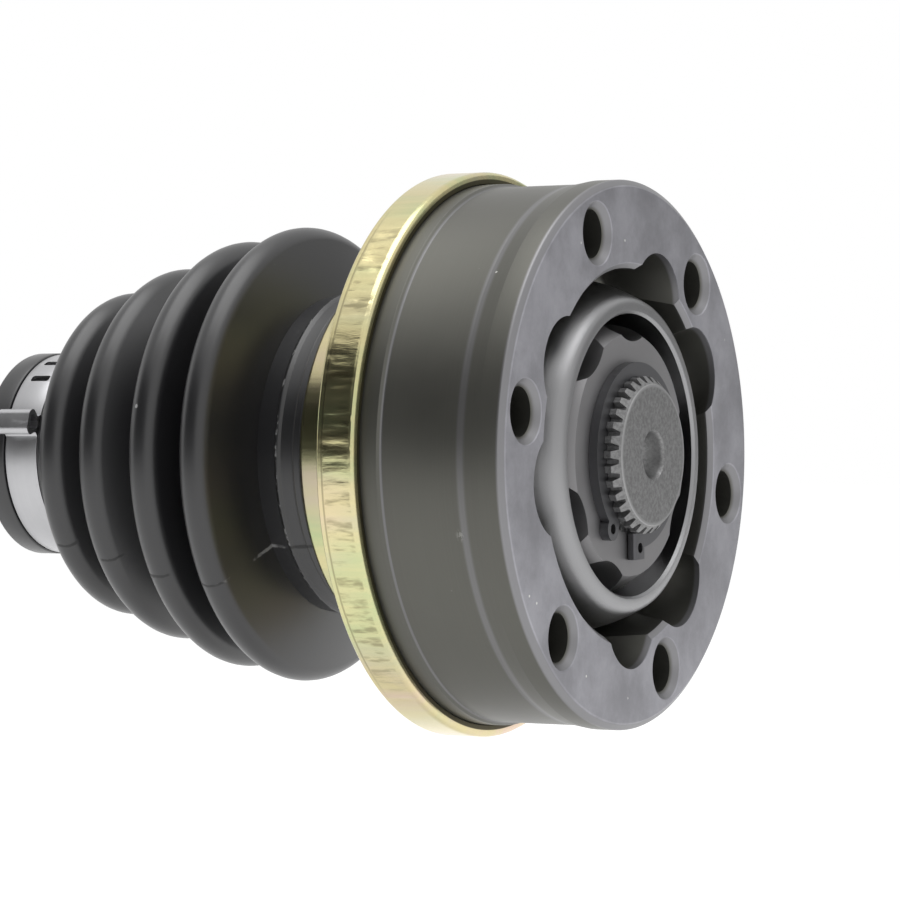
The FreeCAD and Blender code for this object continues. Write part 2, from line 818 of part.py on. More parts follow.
class Bend:
    """A rounded crest (side 1) or valley (side -1) of a fold, or a plain corner (side 0)."""

    def __init__(self, place, radius, round_size=None, side=0):
        self.place = Size.of(place)
        self.radius = Size.of(radius)
        self.round_size = Size.of(round_size or 0)
        self.side = side

    def centre_radius(self):
        return self.radius - self.round_size * self.side

    def inside(self, wall):
        """The same bend on the other face of a wall."""
        return Bend(self.place, self.radius - wall, self.round_size - wall * self.side, self.side)


def rounded_chain(bends, direction):
    """Corners of an outline that runs straight from bend to bend and round each of them. direction is 1
    where the outline runs towards +X and -1 where it runs back."""
    corners = []
    arriving = None
    for number, bend in enumerate(bends):
        leaving = None
        if number + 1 < len(bends):
            after = bends[number + 1]
            across = after.place - bend.place
            up = after.centre_radius() - bend.centre_radius()
            span = root(across * across + up * up)
            lift = bend.round_size * bend.side - after.round_size * after.side
            normal = heading(across, up) + angle_of_cosine(lift / span) * direction
            leaving = (cosine(normal), sine(normal))
        if not bend.side:
            corners.append((bend.place, bend.radius))
        else:
            reach = bend.round_size * bend.side
            centre = bend.centre_radius()
            start = (bend.place + arriving[0] * reach, centre + arriving[1] * reach)
            end = (bend.place + leaving[0] * reach, centre + leaving[1] * reach)
            corners.append(start + (bend.round_size, -direction * bend.side))
            corners.append(end)
        arriving = leaving
    return corners


def folded_boot(name, front, folds, back, sign, origin):
    """A bellows of even wall: given corners at its large end, folds worked out from the list, given corners
    at its small end. front and back are (outside corners, inside corners), listed from the large end, and
    the folds start and end on the last corner of one and the first corner of the other."""
    bends = [Bend(*front[0][-1])]
    for fold, _, _, valley, _ in folds:
        bends.append(Bend(origin + getattr(S, fold + "_place") * sign, getattr(S, fold + "_radius"),
                          S.crest_round, 1))
        if valley:
            bends.append(Bend(origin + getattr(S, fold + "_valley_place") * sign,
                              getattr(S, fold + "_valley_radius"), S.valley_round, -1))
    bends.append(Bend(*back[0][0]))
    inner_bends = [Bend(*front[1][-1])] + [bend.inside(S.boot_wall) for bend in bends[1:-1]]
    inner_bends.append(Bend(*back[1][0]))
    outside = front[0][:-1] + rounded_chain(bends, sign) + back[0][1:]
    inside = back[1][:0:-1] + rounded_chain(inner_bends[::-1], -sign) + front[1][-2::-1]
    body = turned_body(name + "_blank", outside + inside)
    return named_node(body, name)


def small_collar(start, end, sign):
    """Outside and inside corners of a boot's small collar with the clamp's seat in it."""
    band_start = start + sign * (S.band_place - S.boot_small_start) - sign * S.band_side_play
    band_end = band_start + sign * (S.band_width + S.band_side_play * 2)
    lip = S.boot_small_radius
    seat = lip - S.band_seat_depth
    bore = S.boot_seat_radius + S.boot_fit
    outside = [
        (start, lip),
        (band_start, lip),
        (band_start, seat),
        (band_end, seat),
        (band_end, lip),
        (end, lip),
    ]
    inside = [(start + sign * S.boot_collar_lead, bore), (end, bore)]
    return outside, inside


def make_inboard_boot():
    """Boot with four folds between the cap's collar and the bar."""
    bead = S.collar_radius - S.cap_sheet - S.bead_fit
    bead_inside = bead - S.bead_wall
    lip = -S.collar_end + S.cap_sheet + S.bead_fit
    front_outside = [
        (-S.bead_start, bead),
        (lip, bead),
        (lip, S.neck_radius),
        (-S.neck_rib_place + S.neck_rib_height, S.neck_radius),
        (-S.neck_rib_place, S.neck_radius + S.neck_rib_height),
        (-S.neck_rib_place - S.neck_rib_height, S.neck_radius),
        (-S.fold_start, S.neck_end_radius),
    ]
    front_inside = [
        (-S.bead_start, bead_inside),
        (-S.neck_rib_place, bead_inside),
        (-S.fold_start_inside, S.neck_end_radius - S.boot_wall),
    ]
    back = small_collar(-S.boot_small_start, -S.boot_small_end, -1)
    return folded_boot("inboard_boot", (front_outside, front_inside), INBOARD_FOLDS, back, -1, Size(0))


def make_outboard_boot():
    """Boot with four folds between the bell's mouth and the bar."""
    tip = outboard_boot_tip()
    grip_start = outboard_centre + S.bell_mouth - S.out_boot_grip
    mouth = outboard_centre + S.bell_mouth
    bore = S.bell_seat_radius + S.boot_fit
    grip = bore + S.out_boot_grip_wall
    band_start = grip_start + S.large_band_margin
    band_end = band_start + S.large_band_width + S.band_side_play * 2
    front_outside = [
        (grip_start, grip),
        (band_start, grip),
        (band_start, grip - S.band_seat_depth),
        (band_end, grip - S.band_seat_depth),
        (band_end, grip),
        (mouth + S.out_boot_shoulder, grip - S.out_boot_shoulder_drop),
        (outboard_centre + S.out_neck_place, S.out_neck_radius),
    ]
    front_inside = [
        (grip_start, bore),
        (mouth + S.boot_fit, bore),
        (outboard_centre + S.out_neck_inside_place, S.out_neck_inside_radius),
    ]
    back = small_collar(tip - S.out_boot_collar, tip, 1)
    return folded_boot("outboard_boot", (front_outside, front_inside), OUTBOARD_FOLDS, back, 1,
                       outboard_centre)


def make_clamp(name, start, bore_radius, width):
    """Sheet band closed by one pinched ear. start is its edge with the larger X."""
    sheet_size = S.band_sheet.number
    bore = bore_radius.number
    outside = bore + sheet_size
    length = width.number
    base = X_AXIS * start.number
    back = -X_AXIS
    band = Part.makeCylinder(outside, length, base, back).cut(Part.makeCylinder(bore, length, base, back))
    out = radial(S.ear_angle.number)
    side = tangent(S.ear_angle.number)

    def ear_outline(half, waist, foot, top):
        """A closed ear outline: narrow at the band, wider above, with a round top."""
        points = [base + side * across + out * up for across, up in (
            (-waist, foot), (-half, top - half), (0, top), (half, top - half), (waist, foot))]
        edges = [
            Part.makeLine(points[0], points[1]),
            Part.Arc(points[1], points[2], points[3]).toShape(),
            Part.makeLine(points[3], points[4]),
            Part.makeLine(points[4], points[0]),
        ]
        return Part.Face(Part.Wire(edges)).extrude(back * length)

    half = S.ear_half_width.number
    waist = S.ear_waist.number
    top = outside + S.ear_height.number
    ear = ear_outline(half, waist, bore + sheet_size / 2, top)
    hollow = ear_outline(half - sheet_size, waist - sheet_size, bore - sheet_size, top - sheet_size)
    bottom = Part.makeCylinder(bore, length, base, back)
    clamp = document.addObject("Part::Feature", name + "_shape")
    clamp.Shape = band.fuse(ear).cut(hollow).cut(bottom).removeSplitter()
    return named_node(clamp, name)


def make_bell():
    """Joint bell with curved tracks, in one piece with the splined and threaded stub axle."""
    cavity = S.outboard_cage_radius + S.bell_fit
    middle = outboard_centre
    mouth = middle + S.bell_mouth
    bevel = S.bell_mouth - S.bell_mouth_bevel
    floor_radius = sphere_radius_at(cavity, S.bell_floor)
    bevel_radius = sphere_radius_at(cavity, bevel)
    face = middle - S.bell_face
    journal_end = face - S.journal_length
    spline_end = journal_end - S.stub_spline_length
    relief_end = spline_end - S.thread_relief_length
    tail = relief_end - S.thread_length
    seat_start = middle + S.bell_seat_start
    outside = S.bell_seat_radius + S.bell_seat_step
    body = turned_body("bell_blank", [
        (middle - S.bell_floor, 0),
        (middle - S.bell_floor, floor_radius, cavity, -1),
        (middle + bevel, bevel_radius),
        (mouth, S.bell_mouth_radius),
        (mouth, S.bell_seat_radius - S.bell_edge_chamfer),
        (mouth - S.bell_edge_chamfer, S.bell_seat_radius),
        (seat_start, S.bell_seat_radius),
        (seat_start - S.bell_seat_run, outside),
        (middle - S.bell_waist_place, outside - S.bell_waist_drop),
        (middle - S.bell_shoulder_place, S.bell_shoulder_radius),
        (face + S.bell_face_bevel, S.bell_face_radius + S.bell_face_bevel_rise),
        (face, S.bell_face_radius),
        (face, S.journal_radius),
        (journal_end + S.journal_chamfer, S.journal_radius),
        (journal_end, S.journal_radius - S.journal_chamfer),
        (journal_end, S.stub_tip_radius),
        (spline_end + S.stub_spline_lead, S.stub_tip_radius),
        (spline_end, S.stub_tip_radius - S.stub_spline_lead),
        (spline_end, S.thread_relief_radius),
        (relief_end, S.thread_relief_radius),
        (relief_end, S.thread_radius),
        (tail + S.thread_chamfer, S.thread_radius),
        (tail, S.thread_radius - S.thread_chamfer),
        (tail, S.centre_hole_radius),
        (tail + S.centre_hole_depth, 0),
    ])
    shaft_spline(body, "stub_spline", journal_end - S.stub_spline_start, S.stub_spline_length,
                 S.stub_root_radius, S.stub_tip_radius, S.stub_gap_root_angle, S.stub_gap_tip_angle,
                 S.stub_teeth)
    cutters = curved_track_cutters("bell_track", S.track_offset, S.track_deep_angle, S.track_open_angle)
    bell = cut_with(body, cutters, "bell_cut")
    turn_about_axis(bell, S.outboard_first_angle)
    return named_node(bell, "outboard_bell")


def make_outboard_inner_race():
    """Ball-shaped race with six curved grooves and a splined bore."""
    half = S.outboard_star_length / 2
    end_radius = sphere_radius_at(S.outboard_star_radius, half)
    bore = S.spline_root_radius + S.spline_fit
    front = outboard_centre + half
    back = outboard_centre - half
    wire = outboard_centre - S.wire_place
    groove_half = S.wire_radius + S.clip_fit * 2
    groove_radius = S.spline_tip_radius
    body = turned_body("outboard_star_blank", [
        (back, bore + S.race_bore_chamfer),
        (back, end_radius, S.outboard_star_radius, -1),
        (front, end_radius),
        (front, bore + S.race_bore_chamfer),
        (front - S.race_bore_chamfer, bore),
        (wire + groove_half, bore),
        (wire + groove_half, groove_radius),
        (wire - groove_half, groove_radius),
        (wire - groove_half, bore),
        (back + S.race_bore_chamfer, bore),
    ])
    hub_spline(body, "outboard_star_spline", front + S.cut_margin,
               S.outboard_star_length + S.cut_margin * 2, S.outboard_first_angle)
    cutters = curved_track_cutters("race_track", -S.track_offset, S.track_open_angle, S.track_open_angle)
    race = cut_with(body, cutters, "outboard_race_cut")
    turn_about_axis(race, S.outboard_first_angle)
    return named_node(race, "outboard_inner_race")


def make_outboard_cage():
    """Cage between two concentric ball surfaces."""
    half = S.outboard_cage_length / 2
    inside = sphere_radius_at(S.outboard_cage_bore, half)
    outside = sphere_radius_at(S.outboard_cage_radius, half)
    body = turned_body("outboard_cage_blank", [
        (outboard_centre - half, inside),
        (outboard_centre - half, outside, S.outboard_cage_radius, -1),
        (outboard_centre + half, outside),
        (outboard_centre + half, inside, S.outboard_cage_bore, 1),
    ])
    cut_windows(body, "outboard_window", outboard_centre, S.ball_radius + S.outboard_window_play,
                S.ball_radius + S.outboard_window_side_play)
    turn_about_axis(body, S.outboard_first_angle)
    return named_node(body, "outboard_cage")


def make_outboard_retainers():
    """Wire ring, plastic thrust ring and dished washer on the bar's outboard end."""
    ring = document.addObject("Part::Torus", "wire_ring")
    ring.Radius1 = S.wire_ring_radius.number
    ring.setExpression("Radius1", S.wire_ring_radius.text)
    ring.Radius2 = S.wire_radius.number
    ring.setExpression("Radius2", S.wire_radius.text)
    ring.Angle3 = 360 - S.wire_gap_angle.number
    ring.setExpression("Angle3", (Size(360) - S.wire_gap_angle).text)
    ring.Placement = FreeCAD.Placement(X_AXIS * (outboard_centre - S.wire_place).number,
                                       FreeCAD.Rotation(FreeCAD.Vector(0, 0, 1), X_AXIS))
    named_node(ring, "outboard_circlip")
    start = outboard_centre + S.outboard_star_length / 2 + S.washer_fit
    end = start + S.thrust_ring_length
    thrust = turned_body("thrust_ring_blank", [
        (start, S.washer_bore),
        (start, S.thrust_ring_radius),
        (end, S.thrust_ring_radius),
        (end, S.washer_bore),
    ])
    named_node(thrust, "outboard_thrust_ring")
    make_dished_washer("outboard_dished_washer", end + S.washer_fit, 1, S.thrust_ring_radius)


def make_clamps():
    """The three bands that hold the boots."""
    collar_seat = S.boot_small_radius - S.band_seat_depth + S.band_fit
    make_clamp("inboard_boot_clamp", -S.band_place, collar_seat, S.band_width)
    tip = outboard_boot_tip()
    into_collar = S.band_place - S.boot_small_start
    small_start = tip - S.out_boot_collar + into_collar + S.band_width
    make_clamp("outboard_boot_small_clamp", small_start, collar_seat, S.band_width)
    grip = S.bell_seat_radius + S.boot_fit + S.out_boot_grip_wall
    large_bore = grip - S.band_seat_depth + S.band_fit
    grip_start = outboard_centre + S.bell_mouth - S.out_boot_grip
    large_start = grip_start + S.large_band_margin + S.band_side_play + S.large_band_width
    make_clamp("outboard_boot_large_clamp", large_start, large_bore, S.large_band_width)


make_outer_race()
make_inner_race()
make_inboard_cage()
make_balls("inboard", inboard_centre, S.pitch_radius, S.first_track_angle)
make_flange_cap()
make_inboard_circlip()
make_dished_washer("inboard_dished_washer", star_back - S.washer_fit, -1, S.washer_radius)
make_shaft_bar()
make_inboard_boot()
make_bell()
make_outboard_inner_race()
make_outboard_cage()
make_balls("outboard", outboard_centre, S.outboard_pitch_radius, S.outboard_first_angle)
make_outboard_retainers()
make_outboard_boot()
make_clamps()
document.recompute()

# Every object and every sub-part's shape is sound before anything is written
for made in document.Objects:
    if "Invalid" in made.State or "Error" in made.State:
        raise RuntimeError("failed: %s %s" % (made.Label, made.State))
for node in NODES:
    shape = node.Shape
    if shape.isNull() or not shape.isValid() or not shape.Solids:
        raise RuntimeError("bad shape: " + node.Label)

os.makedirs("parts", exist_ok=True)
for node in NODES:
    node.Shape.exportStep("parts/%s.step" % node.Label)
    print("%-28s %10.1f mm3 %3d solid %4d faces" % (node.Label, node.Shape.Volume, len(node.Shape.Solids),
                                                    len(node.Shape.Faces)))
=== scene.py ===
import math
import random

import bpy
from mathutils import Matrix, Vector


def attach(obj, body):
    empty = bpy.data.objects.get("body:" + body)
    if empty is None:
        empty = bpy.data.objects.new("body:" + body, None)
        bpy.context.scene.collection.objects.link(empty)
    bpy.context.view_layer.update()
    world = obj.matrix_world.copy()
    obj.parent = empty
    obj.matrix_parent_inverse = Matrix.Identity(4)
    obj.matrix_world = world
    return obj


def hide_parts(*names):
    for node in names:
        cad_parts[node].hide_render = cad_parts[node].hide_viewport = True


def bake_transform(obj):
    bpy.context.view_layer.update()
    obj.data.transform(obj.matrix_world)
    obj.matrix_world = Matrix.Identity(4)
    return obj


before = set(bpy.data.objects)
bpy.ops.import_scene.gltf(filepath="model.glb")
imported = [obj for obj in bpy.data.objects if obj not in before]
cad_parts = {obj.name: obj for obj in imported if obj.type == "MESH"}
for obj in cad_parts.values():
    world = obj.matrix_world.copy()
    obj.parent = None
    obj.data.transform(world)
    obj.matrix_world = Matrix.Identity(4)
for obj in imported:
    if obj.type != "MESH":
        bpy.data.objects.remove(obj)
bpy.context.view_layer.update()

bl_info = {
    "name": "Front half shaft",
    "version": (1, 0, 0),
    "blender": (4, 5, 0),
    "location": "3D View > Sidebar > Half shaft",
    "description": "Builds the ring, cap, boots, bands, bar and wheel-side bell of a front half shaft",
    "category": "Object",
}

# Outlines are written in millimetres as (X, radius); X = 0 is the ring's face and the wheel lies towards -X.
# Angles round the shaft are in degrees from +Y towards +Z.
MM = 0.001
ROUND = 192
FINE_ROUND = 256

JOINT_CENTRE = -16.9
WHEEL_CENTRE = -460.0
BALLS = 6
BALL = 8.33
PITCH = 29.5
WHEEL_PITCH = 30.5
FIRST_TRACK = 20.0
TRACK_SKEW = 16.5

RING_LENGTH = 33.8
BOLT_CIRCLE = 42.0
FIRST_BOLT = 50.0
CAP_RIM = 52.285
NICKS = ((-9.5, 197, 1.9), (-19.5, 207, 1.5), (-10.0, 213, 1.1), (-2.4, 156, 0.8))  # X, angle, size

CLIP_MOUTH = 252.0
CLIP_RADIUS = 16.9
SHAFT_TEETH = (13.2, 14.8, 1.5, 3.75, 33)
STUB_TEETH = (13.4, 15.0, 1.7, 4.0, 30)

CREST, VALLEY, BOOT_WALL = 3.3, 1.3, 1.9
COLLAR = 19.9
COLLAR_SEAT = 18.8
COLLAR_BORE = 15.75
PARTING = 214.0

BAND_SHEET = 0.8
BAND_WIDTH = 7.4
BAND_BORE = 18.85
BAND_EAR = 164.0


# ---- modelling
def only(piece):
    """Make one piece the active one and the only one selected."""
    bpy.ops.object.select_all(action="DESELECT")
    piece.select_set(True)
    bpy.context.view_layer.objects.active = piece


def edit(piece):
    """Enter edit mode with every point selected."""
    only(piece)
    bpy.ops.object.mode_set(mode="EDIT")
    bpy.ops.mesh.select_mode(type="VERT")
    bpy.ops.mesh.select_all(action="SELECT")


def outward():
    """Point all faces outwards and leave edit mode."""
    bpy.ops.mesh.select_all(action="SELECT")
    bpy.ops.mesh.normals_make_consistent(inside=False)
    bpy.ops.object.mode_set(mode="OBJECT")


def merge():
    bpy.ops.mesh.select_all(action="SELECT")
    bpy.ops.mesh.remove_doubles(threshold=MM / 500)


def pick(piece, test):
    """Select the points that pass a test, in edit mode."""
    edit(piece)
    bpy.ops.mesh.select_all(action="DESELECT")
    bpy.ops.object.mode_set(mode="OBJECT")
    for point in piece.data.vertices:
        point.select = test(point.co)
    bpy.ops.object.mode_set(mode="EDIT")


def radial(angle):
    turn = math.radians(angle)
    return Vector((0, math.cos(turn), math.sin(turn)))


def path(name, points):
    """Extrude one point along a list of places in millimetres, and stay in edit mode."""
    bpy.ops.object.select_all(action="DESELECT")
    bpy.ops.mesh.primitive_plane_add(size=MM)
    piece = bpy.context.object
    piece.name = piece.data.name = name
    edit(piece)
    bpy.ops.mesh.merge(type="CENTER")
    bpy.ops.transform.translate(value=Vector(points[0]) * MM)
    for here, there in zip(points, points[1:]):
        step = (Vector(there) - Vector(here)) * MM
        bpy.ops.mesh.extrude_vertices_move(TRANSFORM_OT_translate={"value": step})
    return piece


def turned(name, outline, steps=ROUND, closed=True):
    """Spin an outline about the shaft's axis."""
    outline = list(outline) + ([outline[0]] if closed else [])
    piece = path(name, [(x, 0, radius) for x, radius in outline])
    bpy.ops.mesh.select_all(action="SELECT")
    bpy.ops.mesh.spin(steps=steps, angle=math.tau, center=(0, 0, 0), axis=(1, 0, 0))
    merge()
    outward()
    return piece


def copied_round(piece, count):
    """Repeat a piece about the shaft's axis, all in one mesh."""
    edit(piece)
    bpy.ops.mesh.spin(steps=count - 1, dupli=True, angle=math.tau * (count - 1) / count, center=(0, 0, 0),
                      axis=(1, 0, 0))
    outward()
    return piece


def rounded(corners, runs=5):
    """An outline whose (X, radius, fillet) corners are rounded; a corner with no fillet stays sharp."""
    points = []
    for index, (x, radius, *fillet) in enumerate(corners):
        if not fillet:
            points.append((x, radius))
            continue
        here = Vector((x, radius))
        before = Vector(corners[index - 1][:2]) - here
        after = Vector(corners[(index + 1) % len(corners)][:2]) - here
        half = before.angle(after) / 2
        reach = min(fillet[0] / math.tan(half), before.length * 0.48, after.length * 0.48)
        size = reach * math.tan(half)
        middle = here + (before.normalized() + after.normalized()).normalized() * size / math.sin(half)
        start = here + before.normalized() * reach - middle
        end = here + after.normalized() * reach - middle
        for run in range(runs + 1):
            points.append(tuple(middle + start.slerp(end, run / runs) * size))
    return points


def arc(middle, size, start, end, runs=16):
    """Points of an arc about (X, radius), from one angle to another, in degrees from +X towards the rim."""
    angles = [math.radians(start + (end - start) * run / runs) for run in range(runs + 1)]
    return [(middle[0] + size * math.cos(a), middle[1] + size * math.sin(a)) for a in angles]


def ball_side(middle, size, start_x, end_x, runs=20):
    """Points on a ball-shaped side between two places along X."""
    start = math.degrees(math.acos((start_x - middle) / size))
    end = math.degrees(math.acos((end_x - middle) / size))
    return arc((middle, 0), size, start, end, runs)


def bar_tool(radius, length, middle, along, corners=96):
    """A round bar to cut with. Its middle is in millimetres."""
    bpy.ops.object.select_all(action="DESELECT")
    turn = Vector(along).to_track_quat("Z", "Y").to_euler()
    bpy.ops.mesh.primitive_cylinder_add(vertices=corners, radius=radius * MM, depth=length * MM,
                                        location=Vector(middle) * MM, rotation=turn)
    return bpy.context.object


def carve(piece, tools, operation="DIFFERENCE"):
    """Cut tools out of a piece, or join them to it, one after another."""
    for tool in tools:
        only(piece)
        change = piece.modifiers.new("carve", "BOOLEAN")
        change.operation = operation
        change.object = tool
        change.solver = "EXACT"
        bpy.ops.object.modifier_apply(modifier=change.name)
        bpy.data.objects.remove(tool)
    return piece


def soften(piece, width, angle=40, runs=2):
    """Round the sharp edges of a piece."""
    only(piece)
    change = piece.modifiers.new("soften", "BEVEL")
    change.width = width * MM
    change.segments = runs
    change.limit_method = "ANGLE"
    change.angle_limit = math.radians(angle)
    bpy.ops.object.modifier_apply(modifier=change.name)
    return piece


def dress(piece, finish, body, node=None, smooth=32):
    """Give a piece its finish, its shading and its place in the frame."""
    only(piece)
    bpy.ops.object.transform_apply(location=True, rotation=True, scale=True)
    piece.data.materials.clear()
    piece.data.materials.append(finish)
    bpy.ops.object.shade_smooth_by_angle(angle=math.radians(smooth))
    if body:
        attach(piece, body)
    if node:
        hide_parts(node)
    return piece


# ---- finishes
class Field:
    """A node's output that adds Math nodes when it is used in an expression."""

    def __init__(self, finish, socket):
        self.finish = finish
        self.socket = socket

    def __add__(self, other):
        return self.finish.maths("ADD", self, other)

    def __sub__(self, other):
        return self.finish.maths("SUBTRACT", self, other)

    def __rsub__(self, other):
        return self.finish.maths("SUBTRACT", other, self)

    def __mul__(self, other):
        return self.finish.maths("MULTIPLY", self, other)

    def __gt__(self, other):
        return self.finish.maths("GREATER_THAN", self, other)

    def __lt__(self, other):
        return self.finish.maths("LESS_THAN", self, other)

    __radd__ = __add__
    __rmul__ = __mul__


class Finish:
    """A material whose nodes are added one expression at a time."""

    def __init__(self, name, metallic=0.0, roughness=0.5, specular=0.5):
        self.material = bpy.data.materials.new(name)
        self.material.use_nodes = True
        self.tree = self.material.node_tree
        self.shader = self.tree.nodes["Principled BSDF"].inputs
        self.shader["Metallic"].default_value = metallic
        self.shader["Roughness"].default_value = roughness
        self.shader["Specular IOR Level"].default_value = specular
        self.spot = self.node("TexCoord", output="Object")
        apart = self.node("SeparateXYZ", None, {0: self.spot}).socket.node
        self.x, self.y, self.z = (Field(self, socket) * (1 / MM) for socket in apart.outputs)
        self.radius = self.maths("SQRT", self.y * self.y + self.z * self.z)

    def node(self, kind, settings=None, sockets=None, output=0):
        """Any node: its settings first, then the values or links of its sockets."""
        made = self.tree.nodes.new("ShaderNode" + kind)
        for key, value in (settings or {}).items():
            setattr(made, key, value)
        for key, value in (sockets or {}).items():
            self.feed(made.inputs[key], value)
        return Field(self, made.outputs[output])

    def feed(self, socket, value):
        if isinstance(value, Field):
            self.tree.links.new(value.socket, socket)
        else:
            socket.default_value = value

    def maths(self, operation, *values):
        return self.node("Math", {"operation": operation}, dict(enumerate(values)))

    def ramp(self, value, low, high):
        """0 below low, 1 above high, smooth between."""
        return self.node("MapRange", {"interpolation_type": "SMOOTHSTEP"}, {0: value, 1: low, 2: high})

    def span(self, value, low, start, end, high):
        """1 from start to end, falling to 0 at low and at high."""
        return self.ramp(value, low, start) * self.ramp(value, high, end)

    def mix(self, share, one, two):
        return self.node("Mix", {"data_type": "RGBA"}, {0: share, 6: one, 7: two}, output=2)

    def stretched(self, x, y, z):
        """The place with each axis scaled, for streaks."""
        return self.node("Mapping", None, {"Vector": self.spot, "Scale": (x, y, z)})

    def rings(self, fineness):
        """A vector that is the same all the way round the shaft, for turning marks."""
        return self.node("CombineXYZ", None, {0: self.x * fineness, 1: self.radius * fineness})

    def noise(self, vector, scale, detail=3.0, roughness=0.55):
        sockets = {"Vector": vector, "Scale": scale, "Detail": detail, "Roughness": roughness}
        return self.node("TexNoise", None, sockets)

    def specks(self, scale, size, share):
        """Small spots, of which only a share is kept."""
        near = self.node("TexVoronoi", {"feature": "F1"}, {"Vector": self.spot, "Scale": scale}, output="Distance")
        own_colour = Field(self, near.socket.node.outputs["Color"])
        return (near < size) * (self.node("SeparateColor", None, {0: own_colour}) < share)

    def bump(self, height, strength, distance):
        sockets = {"Height": height, "Strength": strength, "Distance": distance * MM}
        self.feed(self.shader["Normal"], self.node("Bump", None, sockets))

    def colour(self, value):
        self.feed(self.shader["Base Color"], value)

    def rough(self, value):
        self.feed(self.shader["Roughness"], value)


def tone(colour, factor=1.0):
    return tuple(min(1.0, part * factor) for part in colour[:3]) + (1.0,)


def phosphated_ring(look):
    """Dark phosphated turned side, paler ground face, a few bright nicks, painted highlights along the side's
    rounded steps, and a darker bore and tracks that is partly the steel's own tone and partly painted shade.
    """
    f = Finish("phosphated_ring", metallic=0.85, roughness=0.42)
    cloud = f.noise(f.spot, 45, 4)
    fine = f.noise(f.spot, 900, 2)
    turning = f.noise(f.rings(2.2), 1.6, 3, 0.7)
    face = f.ramp(f.x, -0.3, -0.12)
    # Darker inside the bore and tracks: partly the ground steel's own darker tone, partly painted shade in these
    # recesses.
    deep = f.ramp(f.radius, 40.0, 36.0) * f.ramp(f.x, -0.4, -2.0)
    side = f.mix(cloud * 0.6 + turning * 0.4, tone(look.side, 0.82), tone(look.side, 1.2))
    blotch = f.noise(f.spot, 55, 6, 0.68)
    front = f.mix(f.ramp(blotch, 0.3, 0.7), tone(look.face, 0.78), tone(look.face, 1.2))
    edge = f.ramp(f.x, -1.5, -0.9) * (1 - face)
    base = f.mix(face, f.mix(edge * 0.55, side, tone(look.face, 1.05)), front)
    # Painted highlight: lighter lines along the ring's rounded steps at X -8.7 and -24.2.
    painted_step_highlight = f.span(f.x, -9.6, -8.9, -8.3, -7.4) + f.span(f.x, -24.5, -24.3, -24.1, -23.9)
    base = f.mix(painted_step_highlight * f.ramp(f.radius, 48.0, 49.0) * (0.25 + cloud * 0.3), base, tone(look.face, 0.8))
    nick = f.specks(520, 0.12, 0.015) * f.ramp(f.noise(f.spot, 90, 3), 0.45, 0.6)
    ragged = f.noise(f.stretched(1, 1, 0.6), 900, 3, 0.7)
    for start, angle, size in NICKS:
        spot = radial(angle) * 51
        away = f.maths("SQRT", (f.x - start) * (f.x - start) + (f.y - spot.y) * (f.y - spot.y)
                       + (f.z - spot.z) * (f.z - spot.z) * 0.5)
        nick = nick + f.ramp(away, size, size * 0.3) * f.ramp(ragged, 0.5, 0.56)
    base = f.mix(deep * 0.5, base, tone(look.side, 0.8))
    f.colour(f.mix(nick * 0.8, base, tone(look.nick)))
    f.rough(cloud * 0.16 + face * blotch * 0.12 + 0.34)
    f.bump(turning * 0.6 + fine * 0.4, 0.16, 0.06)
    return f.material


def ground_steel(name, colour, low, streak, strength):
    """Bright steel ground round the shaft."""
    f = Finish(name, metallic=1.0)
    lines = f.noise(f.rings(streak), 2.2, 4, 0.75)
    cloud = f.noise(f.spot, 60, 3)
    fine = f.noise(f.spot, 1400, 2)
    f.colour(f.mix(lines * 0.6 + cloud * 0.4, tone(colour, 0.86), tone(colour, 1.12)))
    f.rough(lines * 0.12 + cloud * 0.08 + low)
    f.bump(lines * 0.7 + fine * 0.3, strength, 0.05)
    return f.material


def matte_steel(name, colour, rough=0.42):
    """Hardened steel with a dull, faintly mottled skin."""
    f = Finish(name, metallic=0.9)
    cloud = f.noise(f.spot, 80, 4, 0.6)
    grain = f.noise(f.spot, 2200, 2)
    f.colour(f.mix(cloud, tone(colour, 0.86), tone(colour, 1.12)))
    f.rough(cloud * 0.14 + rough)
    f.bump(grain * 0.7 + cloud * 0.3, 0.14, 0.05)
    return f.material


def polished_ball(look):
    """Polished bearing steel with a faint film of grease."""
    f = Finish("polished_ball", metallic=1.0)
    film = f.noise(f.spot, 120, 4, 0.6)
    f.colour(f.mix(film, tone(look.ball, 0.8), tone(look.ball, 1.05)))
    f.rough(film * 0.12 + 0.08)
    f.bump(film, 0.03, 0.05)
    return f.material


